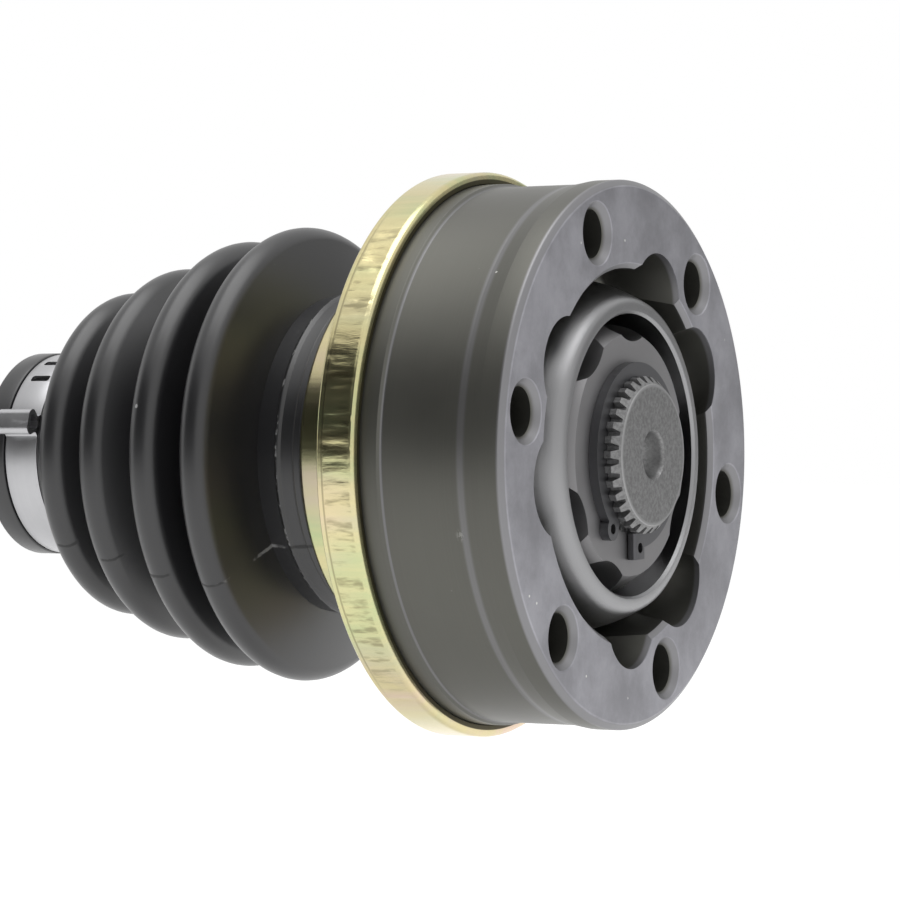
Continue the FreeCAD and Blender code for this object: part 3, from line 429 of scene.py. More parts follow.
def yellow_zinc(look):
    """Yellow passivated zinc with a pink and green bloom and drawing streaks along the shaft; on the side facing
    the camera the crimp's wrinkles and the rim's back bend carry painted shade and the collar a painted dark green
    reflection, and the lip's face in the gap to the ring is painted dark as shade.
    """
    f = Finish("yellow_zinc", metallic=1.0)
    broad = f.noise(f.stretched(0.6, 1, 1), 26, 3, 0.5)
    drift = f.noise(f.stretched(0.25, 1, 1), 75, 3, 0.6)
    streak = f.noise(f.stretched(0.04, 1, 1), 900, 3, 0.6)
    fine = f.noise(f.spot, 1500, 2)
    bloom = f.mix(f.ramp(broad, 0.42, 0.62), tone(look.green), tone(look.pink))
    base = f.mix(f.ramp(drift, 0.35, 0.65) * 0.75, tone(look.gold), bloom)
    base = f.mix(f.ramp(streak, 0.35, 0.75) * 0.35, base, tone(look.gold, 1.12))
    rim = f.ramp(f.radius, 52.0, 52.2) * f.span(f.x, -34.4, -34.1, -29.3, -28.9)
    # The side that faces the camera; the painted shade and painted reflection below are kept to it.
    near = f.ramp(f.y, -26.0, -40.0)
    crimp = f.noise(f.stretched(0.22, 1, 1), 560, 3, 0.6)
    # Painted shade: a dark line along the rim's back bend.
    painted_bend_shade = f.span(f.x, -34.75, -34.6, -34.4, -34.25) * f.ramp(f.radius, 51.9, 52.1)
    # Painted shade: the lip's face, in the gap between the cap and the ring, is darkened almost to black.
    gap = f.ramp(f.x, -28.9, -28.4) * f.ramp(f.radius, 51.1, 50.9)
    # Painted reflection: the collar's side facing the camera is turned dark green.
    collar = near * f.ramp(f.x, -35.8, -36.2)
    # Painted shade in the crimp's wrinkles and along the back bend, on the side facing the camera.
    painted_crease_shade = rim * near * f.ramp(crimp, 0.5, 0.34) * 0.6 + painted_bend_shade * near * 0.55
    base = f.mix(painted_crease_shade, base, tone(look.gold, 0.3))
    base = f.mix(collar * 0.85, base, tone(look.green, 0.5))
    f.colour(f.mix(gap * 0.92, base, tone(look.gold, 0.06)))
    f.rough(streak * 0.14 + drift * 0.08 + gap * 0.3 + 0.12)
    f.bump(streak * 0.12 + fine * 0.04 + drift * 0.03 + rim * (near * 0.75 + 0.12) * crimp, 0.6, 0.16)
    return f.material


def moulded_rubber(look):
    """Satin black rubber with a fine grain, a parting line, scuffs and specks of dust."""
    f = Finish("moulded_rubber", roughness=0.5, specular=0.75)
    cloud = f.noise(f.spot, 35, 4, 0.6)
    grain = f.noise(f.spot, 1500, 3, 0.6)
    scuff = f.ramp(f.noise(f.stretched(1, 0.45, 1), 420, 4, 0.7), 0.66, 0.8)
    dust = f.specks(330, 0.13, 0.02)
    bloom = f.mix(cloud, tone(look.rubber, 0.75), tone(look.rubber, 1.3))
    ragged = f.noise(f.spot, 260, 3, 0.6)
    split_way = radial(PARTING)
    across = f.y * split_way.z - f.z * split_way.y + (ragged - 0.5) * 1.6
    parting = f.ramp(f.maths("ABSOLUTE", across), 0.42, 0.2) * (f.z < 0)
    crest = f.maths("SINE", (f.x + 68.0) * (math.tau / 13.1) + math.pi / 2)
    split = parting * f.ramp(crest + f.noise(f.spot, 90, 2), 0.75, 1.1) * f.ramp(f.radius, 28.0, 30.0)
    flank = parting * f.span(f.x, -68.0, -66.0, -58.0, -57.0) * f.ramp(ragged, 0.45, 0.6)
    ring = f.ramp(f.maths("ABSOLUTE", f.x + 57.2 + (ragged - 0.5) * 0.5), 0.35, 0.15)
    ring = ring * f.ramp(f.noise(f.spot, 520, 3, 0.7), 0.52, 0.62)
    pale = f.mix(dust * 0.5 + scuff * 0.04 + flank * 0.35 + ring * 0.4, bloom, tone(look.dust))
    f.colour(f.mix(split * 0.85, pale, tone(look.rubber, 0.15)))
    f.rough(cloud * 0.1 + scuff * 0.1 + split * 0.3 + 0.31)
    f.bump(grain * 0.5 + cloud * 0.3 - split * 1.5, 0.22, 0.06)
    return f.material


def drawn_strip(look):
    """Stainless strip with drawing marks and light scratches."""
    f = Finish("drawn_strip", metallic=1.0)
    lines = f.noise(f.rings(4.0), 2.4, 3, 0.7)
    smear = f.noise(f.spot, 110, 4, 0.65)
    scratch = f.ramp(f.noise(f.stretched(0.2, 1, 1), 700, 3, 0.7), 0.6, 0.78)
    f.colour(f.mix(lines * 0.4 + smear * 0.6, tone(look.strip, 0.78), tone(look.strip, 1.15)))
    f.rough(smear * 0.2 + scratch * 0.12 + 0.26)
    f.bump(lines * 0.5 + scratch * 0.5, 0.12, 0.05)
    return f.material


def bar_finish(look):
    """Satin black paint on the bar, bare turned steel at its splined ends, and painted shade in the end's centre
    hole.
    """
    f = Finish("painted_bar")
    cloud = f.noise(f.spot, 60, 4, 0.6)
    grain = f.noise(f.spot, 900, 3, 0.6)
    speck = f.noise(f.spot, 1500, 3, 0.7)
    peel = f.noise(f.stretched(0.5, 1, 1), 260, 2, 0.5)
    bare = f.maths("MAXIMUM", f.ramp(f.x, -38.0, -37.0), f.ramp(f.x, -441.0, -442.0))
    paint = f.mix(cloud, tone(look.paint, 0.8), tone(look.paint, 1.3))
    steel = f.mix(f.ramp(speck, 0.3, 0.7), tone(look.cut_end, 0.72), tone(look.cut_end, 1.2))
    rim = f.ramp(f.radius, 12.1, 12.6) * f.ramp(f.x, 4.0, 4.1)
    # Painted shade: the centre hole in the bar's end is darkened.
    hollow = f.ramp(f.radius, 4.5, 4.0) * f.ramp(f.x, 0.0, 3.0)
    steel = f.mix(hollow * 0.75, f.mix(rim, steel, tone(look.cut_end, 1.5)), tone(look.cut_end, 0.25))
    f.colour(f.mix(bare, paint, steel))
    f.feed(f.shader["Metallic"], bare * 0.85)
    f.rough(cloud * 0.12 + bare * 0.06 + 0.3)
    f.bump((speck * bare + peel * (1 - bare) * 0.5) * 0.7 + grain * 0.3, 0.25, 0.06)
    return f.material


def forged_steel(look):
    """Oiled forging with turned seats, bright splines and thread."""
    f = Finish("forged_steel", metallic=0.9)
    cloud = f.noise(f.spot, 55, 5, 0.6)
    scale = f.noise(f.spot, 420, 4, 0.65)
    lines = f.noise(f.rings(2.4), 2.0, 3, 0.7)
    bright = f.maths("MAXIMUM", f.ramp(f.x, -486.5, -488.0), f.ramp(f.x, -459.0, -458.0))
    raw = f.mix(cloud * 0.6 + scale * 0.4, tone(look.forging, 0.75), tone(look.forging, 1.3))
    cut = f.mix(lines, tone(look.machined, 0.85), tone(look.machined, 1.15))
    f.colour(f.mix(bright, raw, cut))
    f.rough(cloud * 0.14 + (1 - bright) * 0.12 + 0.26)
    f.bump(lines * bright * 0.5 + scale * (1 - bright), 0.3, 0.08)
    return f.material


def nylon(look):
    """Natural nylon with a soft grain."""
    f = Finish("natural_nylon", roughness=0.45)
    cloud = f.noise(f.spot, 150, 3)
    f.colour(f.mix(cloud, tone(look.nylon, 0.92), tone(look.nylon, 1.05)))
    f.bump(f.noise(f.spot, 900, 2), 0.1, 0.05)
    return f.material


# ---- shared shapes
def box_round(name, middle, half_x, half_side, corner, angle, low, high):
    """A bar with rounded corners that points outwards at an angle, to cut a window or a slot."""
    outward = radial(angle)
    side = radial(angle + 90)
    corners = rounded([(half_x, half_side, corner), (-half_x, half_side, corner), (-half_x, -half_side, corner),
                       (half_x, -half_side, corner)], 6)
    places = [Vector((middle + along, 0, 0)) + side * across + outward * low for along, across in corners]
    return column(name, places, outward * (high - low))


def column(name, places, push):
    """A flat outline pushed out into a solid."""
    piece = path(name, places + places[:1])
    merge()
    bpy.ops.mesh.edge_face_add()
    bpy.ops.mesh.extrude_region_move(TRANSFORM_OT_translate={"value": push * MM})
    merge()
    outward()
    return piece


def spline_gaps(name, start, length, inner, outer, inner_half, outer_half, teeth):
    """Wedges that cut the gaps between the teeth of a spline. Each half is half a gap's angle at a radius."""
    def corner(radius, half):
        return radial(half) * radius + Vector((start, 0, 0))
    wedge = column(name, [corner(inner, -inner_half), corner(outer, -outer_half), corner(outer, outer_half),
                          corner(inner, inner_half)], Vector((length, 0, 0)))
    return copied_round(wedge, teeth)


def bolt_spot(hole):
    """Middle of a bolt hole, in the ring's face."""
    return radial(FIRST_BOLT + 360 / BALLS * hole) * BOLT_CIRCLE


def bolt_tools(name, radius, chamfer, front, back):
    """Six bars that cut the bolt holes, with a chamfer at each end."""
    wide = radius + chamfer + 1
    piece = turned(name, [(front + 1, 0), (front + 1, wide), (front - chamfer, radius), (back + chamfer, radius),
                          (back - 1, wide), (back - 1, 0)], 72, closed=False)
    edit(piece)
    bpy.ops.transform.translate(value=bolt_spot(0) * MM)
    bpy.ops.object.mode_set(mode="OBJECT")
    return copied_round(piece, BALLS)


def track_tools(radius, lean):
    """Round bars along the six crossed ball tracks."""
    tools = []
    for track in range(BALLS):
        angle = FIRST_TRACK + 60 * track
        tilt = math.radians(TRACK_SKEW) * lean * (-1) ** track
        along = Vector((math.cos(tilt), 0, 0)) + radial(angle + 90) * math.sin(tilt)
        middle = Vector((JOINT_CENTRE, 0, 0)) + radial(angle) * PITCH
        tools.append(bar_tool(radius, 84, middle, along, 112))
    return tools


def fold_chain(bends, way, runs=7):
    """Points of an outline that rounds each bend, with straight flanks between.
    A bend is (X, radius, round, side): side 1 for a crest, -1 for a valley, 0 for a plain corner."""
    points = []
    arriving = None
    for number, (place, radius, size, side) in enumerate(bends):
        leaving = None
        if number + 1 < len(bends):
            next_place, next_radius, next_size, next_side = bends[number + 1]
            across = next_place - place
            up = (next_radius - next_size * next_side) - (radius - size * side)
            lift = size * side - next_size * next_side
            turn = math.atan2(up, across) + math.acos(lift / math.hypot(across, up)) * way
            leaving = Vector((math.cos(turn), math.sin(turn)))
        if side:
            middle = Vector((place, radius - size * side))
            top = Vector((0, side))
            first, last = arriving * side, leaving * side
            for run in range(runs):
                points.append(tuple(middle + first.slerp(top, run / runs) * size))
            for run in range(runs + 1):
                points.append(tuple(middle + top.slerp(last, run / runs) * size))
        else:
            points.append((place, radius))
        arriving = leaving
    return points


def inner_bends(bends):
    """The bends of a boot's inside, one wall thickness within its outside."""
    return [(place, radius - BOOT_WALL, size - BOOT_WALL * side, side) for place, radius, size, side in bends]


def collar_outline(start, end, way):
    """Outside corners of a boot's small collar, with the band's seat in it."""
    band_start = start + way * 3.6
    band_end = band_start + way * 7.8
    return [(band_start, COLLAR, 0.35), (band_start, COLLAR_SEAT), (band_end, COLLAR_SEAT),
            (band_end, COLLAR, 0.35), (end, COLLAR, 0.5)]


def collar_end(start, end, way):
    """Outside of a boot's small collar after its first corner."""
    return rounded([(start, COLLAR)] + collar_outline(start, end, way) + [(end, COLLAR_BORE)], 3)[1:-1]


def nearest(points, target):
    """Number of the point that lies nearest to a target."""
    return min(range(len(points)), key=lambda index: math.dist(points[index], target))


def band(name, start, bore, width):
    """A round band of sheet metal. It runs from start towards -X."""
    outer = bore + BAND_SHEET
    return turned(name, rounded([(start, bore), (start, outer, 0.2), (start - width, outer, 0.2),
                                 (start - width, bore)], 2), FINE_ROUND)


def mirrored(half):
    """An outline from its left half."""
    return half + [(-corner[0],) + tuple(corner[1:]) for corner in reversed(half)]


def clamp(name, start, bore, slots):
    """A boot band with a pinched ear and two slots for the closing tool."""
    piece = band(name, start, bore, BAND_WIDTH)
    outer = bore + BAND_SHEET
    up = radial(BAND_EAR)
    side = radial(BAND_EAR + 90)

    def place(across, height):
        return Vector((start, 0, 0)) + side * across + up * height
    profile = rounded(mirrored([(-2.6, bore + 0.2), (-1.5, outer + 0.7, 0.5), (-2.7, outer + 2.3, 0.9),
                                (-1.9, outer + 3.55, 1.2)]), 5)
    ear = column(name + "_ear", [place(*corner) for corner in profile], Vector((-BAND_WIDTH, 0, 0)))
    carve(piece, [ear], "UNION")
    hollow = rounded(mirrored([(-0.7, outer + 0.4, 0.3), (-1.8, outer + 2.2, 0.6), (-1.1, outer + 2.85, 0.5)]), 4)
    tools = [column(name + "_hollow", [place(*corner) + Vector((1, 0, 0)) for corner in hollow],
                    Vector((-BAND_WIDTH - 2, 0, 0)))]
    for angle in slots:
        tools.append(box_round(name + "_slot", start - BAND_WIDTH / 2, 2.1, 0.8, 0.5, angle, bore - 1, outer + 1))
    return carve(piece, tools)


def thread_tool(pitch):
    """A V-shaped worm that cuts the hub thread."""
    start = -545.0
    tool = path("worm", [(start, 0, 10.1), (start + 0.68, 0, 11.3), (start - 0.68, 0, 11.3), (start, 0, 10.1)])
    merge()
    bpy.ops.object.mode_set(mode="OBJECT")
    change = tool.modifiers.new("worm", "SCREW")
    change.axis = "X"
    change.angle = -math.tau
    change.screw_offset = -pitch
    change.iterations = 16
    change.steps = change.render_steps = 36
    change.use_merge_vertices = True
    change.merge_threshold = MM / 500
    bpy.ops.object.modifier_apply(modifier=change.name)
    edit(tool)
    bpy.ops.mesh.select_all(action="DESELECT")
    bpy.ops.mesh.select_non_manifold()
    bpy.ops.mesh.fill_holes(sides=6)
    outward()
    return tool


# ---- properties
def colour_property(name, default, description):
    return bpy.props.FloatVectorProperty(name=name, description=description, subtype="COLOR", size=3, min=0, max=1,
                                         default=default)


class HalfShaftLook(bpy.types.PropertyGroup):
    """Colours of the half shaft's finishes, and the few sizes that only the look has."""
    side: colour_property("Ring side", (0.10, 0.099, 0.088), "Phosphated side of the ring")
    face: colour_property("Ring face", (0.285, 0.283, 0.305), "Ground face of the ring")
    nick: colour_property("Nick", (0.75, 0.75, 0.72), "Bare metal in a nick")
    cage: colour_property("Cage", (0.27, 0.27, 0.275), "Ground cage")
    star: colour_property("Inner race", (0.215, 0.212, 0.216), "Hardened inner race")
    clip: colour_property("Retaining ring", (0.10, 0.10, 0.105), "Dark spring steel")
    ball: colour_property("Ball", (0.70, 0.70, 0.71), "Polished bearing steel")
    gold: colour_property("Zinc gold", (0.60, 0.53, 0.29), "Yellow passivated zinc")
    pink: colour_property("Zinc pink", (0.68, 0.47, 0.45), "Pink bloom of the passivation")
    # Also the colour of the painted dark green reflection on the cap's collar.
    green: colour_property("Zinc green", (0.40, 0.50, 0.27), "Green bloom of the passivation")
    rubber: colour_property("Rubber", (0.0065, 0.0065, 0.0075), "Moulded rubber of the boots")
    dust: colour_property("Dust", (0.42, 0.42, 0.42), "Dust and scuffs on rubber")
    strip: colour_property("Band", (0.44, 0.44, 0.45), "Stainless strip of the bands")
    paint: colour_property("Bar paint", (0.022, 0.022, 0.024), "Satin black paint of the bar")
    cut_end: colour_property("Bar end", (0.19, 0.19, 0.19), "Bare steel of the bar's ends")
    forging: colour_property("Forging", (0.16, 0.155, 0.15), "Oiled forged skin of the bell")
    machined: colour_property("Machined steel", (0.50, 0.50, 0.50), "Turned seats, splines and thread")
    nylon: colour_property("Nylon", (0.75, 0.72, 0.60), "Thrust ring")
    crimp_depth: bpy.props.FloatProperty(
        name="Crimp depth", description="How deep the crimped rim's wrinkles are", default=0.00007, min=0,
        max=0.0004, unit="LENGTH", precision=5)
    thread_pitch: bpy.props.FloatProperty(
        name="Thread pitch", description="Pitch of the hub thread", default=0.0015, min=0.001, max=0.002,
        unit="LENGTH", precision=5)


class HalfShaftStage(bpy.types.PropertyGroup):
    """Camera, lamps and floor."""
    place: bpy.props.FloatVectorProperty(
        name="Camera place", description="Where the camera stands", subtype="XYZ", size=3, unit="LENGTH",
        default=(0.29239, -0.59128, -0.00151), precision=5)
    yaw: bpy.props.FloatProperty(
        name="Yaw", description="Camera's turn about the vertical, from +Y towards -X", unit="ROTATION",
        default=math.radians(29.2010))
    pitch: bpy.props.FloatProperty(
        name="Pitch", description="Camera's tilt upwards", unit="ROTATION", default=math.radians(0.1988))
    roll: bpy.props.FloatProperty(
        name="Roll", description="Camera's roll", unit="ROTATION", default=math.radians(0.2267))
    lens: bpy.props.FloatProperty(
        name="Lens", description="Focal length on a 36 mm sensor", default=144.963, unit="CAMERA")
    floor_drop: bpy.props.FloatProperty(
        name="Floor", description="How far the floor lies below the shaft's centre line", default=0.13,
        unit="LENGTH", precision=4)
    ambient: bpy.props.FloatProperty(
        name="Ambient", description="Level of the white surroundings on matte surfaces", default=0.75, min=0)
    top_lamp: bpy.props.FloatProperty(
        name="Top lamp", description="Power of the soft lamp above, in watts", default=14.0, min=0)


# ---- pieces
class HALFSHAFT_OT_ring(bpy.types.Operator):
    """Outer ring with six bolt holes and six crossed ball tracks"""
    bl_idname = "halfshaft.ring"
    bl_label = "Outer ring"

    def execute(self, context):
        look = context.scene.half_shaft
        piece = turned("outer_ring", rounded([
            (0, 35.0), (0, 48.7, 0.3), (-0.9, 50.0, 0.5), (-4.9, 50.0, 0.4), (-8.7, 49.4, 0.8), (-24.2, 49.4, 0.2),
            (-24.8, 50.0, 0.2), (-32.5, 50.0, 0.3), (-RING_LENGTH, 48.7, 0.3), (-RING_LENGTH, 35.0), (-32.8, 34.0),
            (-1.0, 34.0)], 3), FINE_ROUND)
        carve(piece, track_tools(radius=9.0, lean=1)
              + [bolt_tools("ring_holes", radius=4.4, chamfer=1.5, front=0.0, back=-RING_LENGTH)])
        dress(piece, phosphated_ring(look), "inboard_joint", "inboard_outer_race")
        return {"FINISHED"}


class HALFSHAFT_OT_cap(bpy.types.Operator):
    """Plated cap crimped round the ring's back edge"""
    bl_idname = "halfshaft.cap"
    bl_label = "Plated cap"

    def execute(self, context):
        look = context.scene.half_shaft
        rim = [(-28.1, 50.15), (-28.1, 51.3), (-28.2, 51.75), (-28.45, 52.1), (-28.8, CAP_RIM)]
        rim += [(-29.5 - 0.9 * step, CAP_RIM) for step in range(6)] + [(-34.5, CAP_RIM)]
        rest = rounded([rim[-1], (-35.7, 52.3, 1.2), (-35.7, 34.2, 2.4), (-50.5, 34.2, 1.2), (-50.5, 31.2, 0.3),
                        (-48.7, 31.2), (-48.7, 32.4), (-33.9, 32.4), (-33.9, 50.15), rim[0]], 6)
        piece = turned("plated_cap", rim + rest[1:-1], 720)
        chance = random.Random(7)
        for depth in (1.0, 0.7, 0.4):
            wrinkles = []
            for wrinkle in range(34):
                first = -29.4 - chance.choice((0, 0, 0.9, 1.8))
                wrinkles.append((chance.uniform(130, 238), chance.uniform(0.3, 0.6), first,
                                 first - chance.uniform(1.6, 4.4)))

            def creased(place):
                if math.hypot(place.y, place.z) < 51.8 * MM:
                    return False
                turn = math.degrees(math.atan2(place.z, place.y)) % 360
                return any(abs((turn - angle + 180) % 360 - 180) < width and last * MM < place.x < first * MM
                           for angle, width, first, last in wrinkles)
            pick(piece, creased)
            bpy.ops.transform.shrink_fatten(value=-look.crimp_depth * depth)
            bpy.ops.object.mode_set(mode="OBJECT")
        carve(piece, [bar_tool(4.6, 8, bolt_spot(hole) + Vector((-34.8, 0, 0)), (1, 0, 0), 72)
                      for hole in range(BALLS)])
        dress(piece, yellow_zinc(look), "inboard_joint", "inboard_flange_cap")
        return {"FINISHED"}


class HALFSHAFT_OT_star(bpy.types.Operator):
    """Inner race with six grooves that lean the other way"""
    bl_idname = "halfshaft.star"
    bl_label = "Inner race"

    def execute(self, context):
        look = context.scene.half_shaft
        outside = ball_side(JOINT_CENTRE, 27.5, -0.45, -33.35, 24)
        piece = turned("inner_race", [(-0.45, 14.2)] + outside + [(-33.35, 14.2), (-32.55, 13.4), (-1.25, 13.4)])
        carve(piece, track_tools(radius=9.2, lean=-1))
        dress(piece, matte_steel("hardened_race", look.star), "shaft", "inboard_inner_race")
        return {"FINISHED"}


class HALFSHAFT_OT_cage(bpy.types.Operator):
    """Ball cage with six windows"""
    bl_idname = "halfshaft.cage"
    bl_label = "Ball cage"

    def execute(self, context):
        look = context.scene.half_shaft
        outside = [(0.1, 27.55)] + ball_side(JOINT_CENTRE, 32.9, -0.45, -33.9, 24)
        inside = [(JOINT_CENTRE - 17 + 34 * run / 16, 25.6 + 4.1 * (1 - (run / 8 - 1) ** 2)) for run in range(16)]
        inside += [(-0.45, 25.75), (0.1, 26.2)]
        piece = turned("ball_cage", outside + inside)
        carve(piece, [box_round("window", JOINT_CENTRE, 8.39, 9.93, 3.0, FIRST_TRACK + 60 * ball, 20, 38)
                      for ball in range(BALLS)])
        finish = ground_steel("ground_cage", look.cage, low=0.22, streak=9.0, strength=0.7)
        dress(piece, finish, "inboard_cage", "inboard_cage")
        return {"FINISHED"}


class HALFSHAFT_OT_clip(bpy.types.Operator):
    """Retaining ring with two eyes on the bar's end"""
    bl_idname = "halfshaft.clip"
    bl_label = "Retaining ring"

    def execute(self, context):
        look = context.scene.half_shaft
        back, thick, half_gap = -0.40, 1.7, 14.0
        middle = back + thick / 2
        angles = [CLIP_MOUTH + half_gap + (360 - 2 * half_gap) * step / 120 for step in range(121)]
        start = Vector((back, 0, 0))
        outline = [start + radial(angle) * CLIP_RADIUS for angle in angles]
        outline += [start + radial(angle) * 13.05 for angle in reversed(angles)]
        piece = column("retaining_ring", outline, Vector((thick, 0, 0)))
        eyes = [radial(CLIP_MOUTH + way * 20) * CLIP_RADIUS for way in (-1, 1)]
        lug = box_round("lug", middle, thick / 2, 2.1, 0.5, CLIP_MOUTH + 20, 14.2, 19.0)
        carve(piece, [bar_tool(2.1, thick, eyes[0] + Vector((middle, 0, 0)), (1, 0, 0), 48), lug], "UNION")
        carve(piece, [bar_tool(0.95, 4, eye, (1, 0, 0), 32) for eye in eyes])
        soften(piece, 0.18, 50)
        dress(piece, matte_steel("spring_ring", look.clip, 0.3), "shaft", "inboard_circlip")
        return {"FINISHED"}


class HALFSHAFT_OT_balls(bpy.types.Operator):
    """The twelve bearing balls"""
    bl_idname = "halfshaft.balls"
    bl_label = "Balls"

    def execute(self, context):
        finish = polished_ball(context.scene.half_shaft)
        for side, middle, pitch, first, axis_body in (
                ("inboard", JOINT_CENTRE, PITCH, FIRST_TRACK, "inboard_axis_balls"),
                ("outboard", WHEEL_CENTRE, WHEEL_PITCH, 90.0, "shaft")):
            for ball in range(1, BALLS + 1):
                node = "%s_ball_%d" % (side, ball)
                spot = radial(first + 60 * (ball - 1)) * pitch + Vector((middle, 0, 0))
                bpy.ops.object.select_all(action="DESELECT")
                bpy.ops.mesh.primitive_uv_sphere_add(segments=48, ring_count=24, radius=BALL * MM,
                                                     location=spot * MM)
                piece = context.object
                piece.name = piece.data.name = "%s_bearing_%d" % (side, ball)
                body = axis_body if ball in (1, 4) else node
                dress(piece, finish, body, node, 60)
        return {"FINISHED"}


class HALFSHAFT_OT_bar(bpy.types.Operator):
    """Solid bar with a spline at each end"""
    bl_idname = "halfshaft.bar"
    bl_label = "Bar"

    def execute(self, context):
        look = context.scene.half_shaft
        outline = rounded([
            (-2.3, 0), (4.2, 4.6), (4.2, 12.75), (2.65, 14.3), (1.35, 14.3), (1.35, 13.0), (-0.45, 13.0),
            (-0.45, 14.3), (-36.15, 14.3), (-36.15, 16.0, 0.3), (-38.55, 16.0, 0.8), (-43.55, 13.5, 2.0),
            (-109.3, 13.5, 2.0), (-113.3, 15.6, 0.6), (-132.5, 15.6, 0.6), (-136.5, 13.5, 2.0),
            (-362.5, 13.5, 2.0), (-366.5, 15.6, 0.6), (-385.7, 15.6, 0.6), (-389.7, 13.5, 2.0),
            (-438.35, 13.5, 2.0), (-440.85, 16.0, 0.8),
            (-443.25, 16.0, 0.3), (-443.25, 14.3), (-467.15, 14.3), (-467.15, 12.2), (-468.85, 12.2),
            (-468.85, 14.3), (-471.45, 14.3), (-473.0, 12.75), (-473.0, 0)], 4)
        piece = turned("solid_bar", outline, 198, closed=False)
        carve(piece, [spline_gaps("gaps", -35.5, 41, *SHAFT_TEETH),
                      spline_gaps("far_gaps", -475, 31, *SHAFT_TEETH)])
        dress(piece, bar_finish(look), "shaft", "shaft_bar", 26)
        return {"FINISHED"}


class HALFSHAFT_OT_boot(bpy.types.Operator):
    """Inboard boot with four folds, in two halves that meet in its first valley"""
    bl_idname = "halfshaft.boot"
    bl_label = "Inboard boot"

    def execute(self, context):
        finish = moulded_rubber(context.scene.half_shaft)
        folds = [(-68.2, 43.2, CREST, 1), (-74.6, 31.6, VALLEY, -1), (-80.8, 40.8, CREST, 1),
                 (-88.2, 29.4, VALLEY, -1), (-95.4, 35.9, CREST, 1), (-101.7, 26.0, VALLEY, -1),
                 (-107.6, 31.5, CREST, 1)]
        seam_out, seam_in = (-74.6, 31.6), (-74.6, 31.6 - BOOT_WALL)
        mouth = rounded([(-40.6, 28.6), (-40.6, 32.1), (-48.4, 32.1), (-48.4, 30.6), (-52.2, 30.6),
                         (-52.35, 30.75, 0.1), (-52.5, 30.6), (-53.6, 30.6), (-53.75, 30.75, 0.1), (-53.9, 30.6),
                         (-56.3, 30.6, 0.2),
                         (-57.0, 31.1, 0.5), (-57.7, 30.6, 0.2), (-61.7, 30.0)], 3)
        outside = fold_chain([(-61.7, 30.0, 0, 0)] + folds + [(-114.8, COLLAR, 0, 0)], -1)
        inside = fold_chain([(-62.8, 28.1, 0, 0)] + inner_bends(folds) + [(-116.3, COLLAR_BORE, 0, 0)], -1)
        out_split, in_split = nearest(outside, seam_out), nearest(inside, seam_in)
        near = mouth[:-1] + outside[:out_split] + [seam_out, seam_in] + inside[:in_split][::-1] + [(-57.0, 28.6)]
        far = [seam_out] + outside[out_split + 1:] + collar_end(-114.8, -131.0, -1) + [(-131.0, COLLAR_BORE)]
        far += inside[in_split + 1:][::-1] + [seam_in]
        for name, outline, bodies, start, end in (
                ("boot_mouth", near, ("inboard_joint", "boot_slide"), -0.0617, -0.0746),
                ("boot_folds", far, ("boot_slide", "shaft"), -0.0746, -0.1148)):
            piece = turned(name, outline, FINE_ROUND)
            dress(piece, finish, None, "inboard_boot", 40)
            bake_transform(piece)
        return {"FINISHED"}


class HALFSHAFT_OT_wheel_boot(bpy.types.Operator):
    """Outboard boot with four folds between the bell and the bar"""
    bl_idname = "halfshaft.wheel_boot"
    bl_label = "Outboard boot"

    def execute(self, context):
        folds = [(-433.0, 45.2, CREST, 1), (-426.5, 35.0, VALLEY, -1), (-420.0, 41.0, CREST, 1),
                 (-413.5, 31.0, VALLEY, -1), (-407.5, 36.5, CREST, 1), (-401.5, 27.0, VALLEY, -1),
                 (-396.0, 31.5, CREST, 1)]
        mouth = rounded([(-455.5, 42.45), (-455.5, 45.05, 0.4), (-454.5, 45.05, 0.3), (-454.5, 43.95),
                         (-446.7, 43.95), (-446.7, 45.05, 0.3), (-443.5, 44.05, 1.5), (-439.5, 36.2)], 3)
        outside = fold_chain([(-439.5, 36.2, 0, 0)] + folds + [(-384.2, COLLAR, 0, 0)], 1)
        inside = fold_chain([(-439.7, 32.0, 0, 0)] + inner_bends(folds) + [(-382.7, COLLAR_BORE, 0, 0)], 1)
        outline = mouth[:-1] + outside + collar_end(-384.2, -368.0, 1) + [(-368.0, COLLAR_BORE)] + inside[::-1]
        outline += [(-445.85, 42.45)]
        piece = turned("wheel_boot", outline, FINE_ROUND)
        dress(piece, bpy.data.materials["moulded_rubber"], None, "outboard_boot", 40)
        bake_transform(piece)
        return {"FINISHED"}


class HALFSHAFT_OT_bands(bpy.types.Operator):
    """The three pinched bands that hold the boots"""
    bl_idname = "halfshaft.bands"
    bl_label = "Boot bands"

    def execute(self, context):
        finish = drawn_strip(context.scene.half_shaft)
        for name, start, bore, body, node in (
                ("boot_band", -118.6, BAND_BORE, "shaft", "inboard_boot_clamp"),
                ("wheel_boot_band", -373.0, BAND_BORE, "shaft", "outboard_boot_small_clamp"),
                ("bell_band", -446.9, 44.0, "outboard_joint", "outboard_boot_large_clamp")):
            step = 16 * BAND_BORE / bore
            piece = clamp(name, start, bore, [BAND_EAR - 2 * step, BAND_EAR - 3 * step])
            dress(piece, finish, body, node)
        return {"FINISHED"}


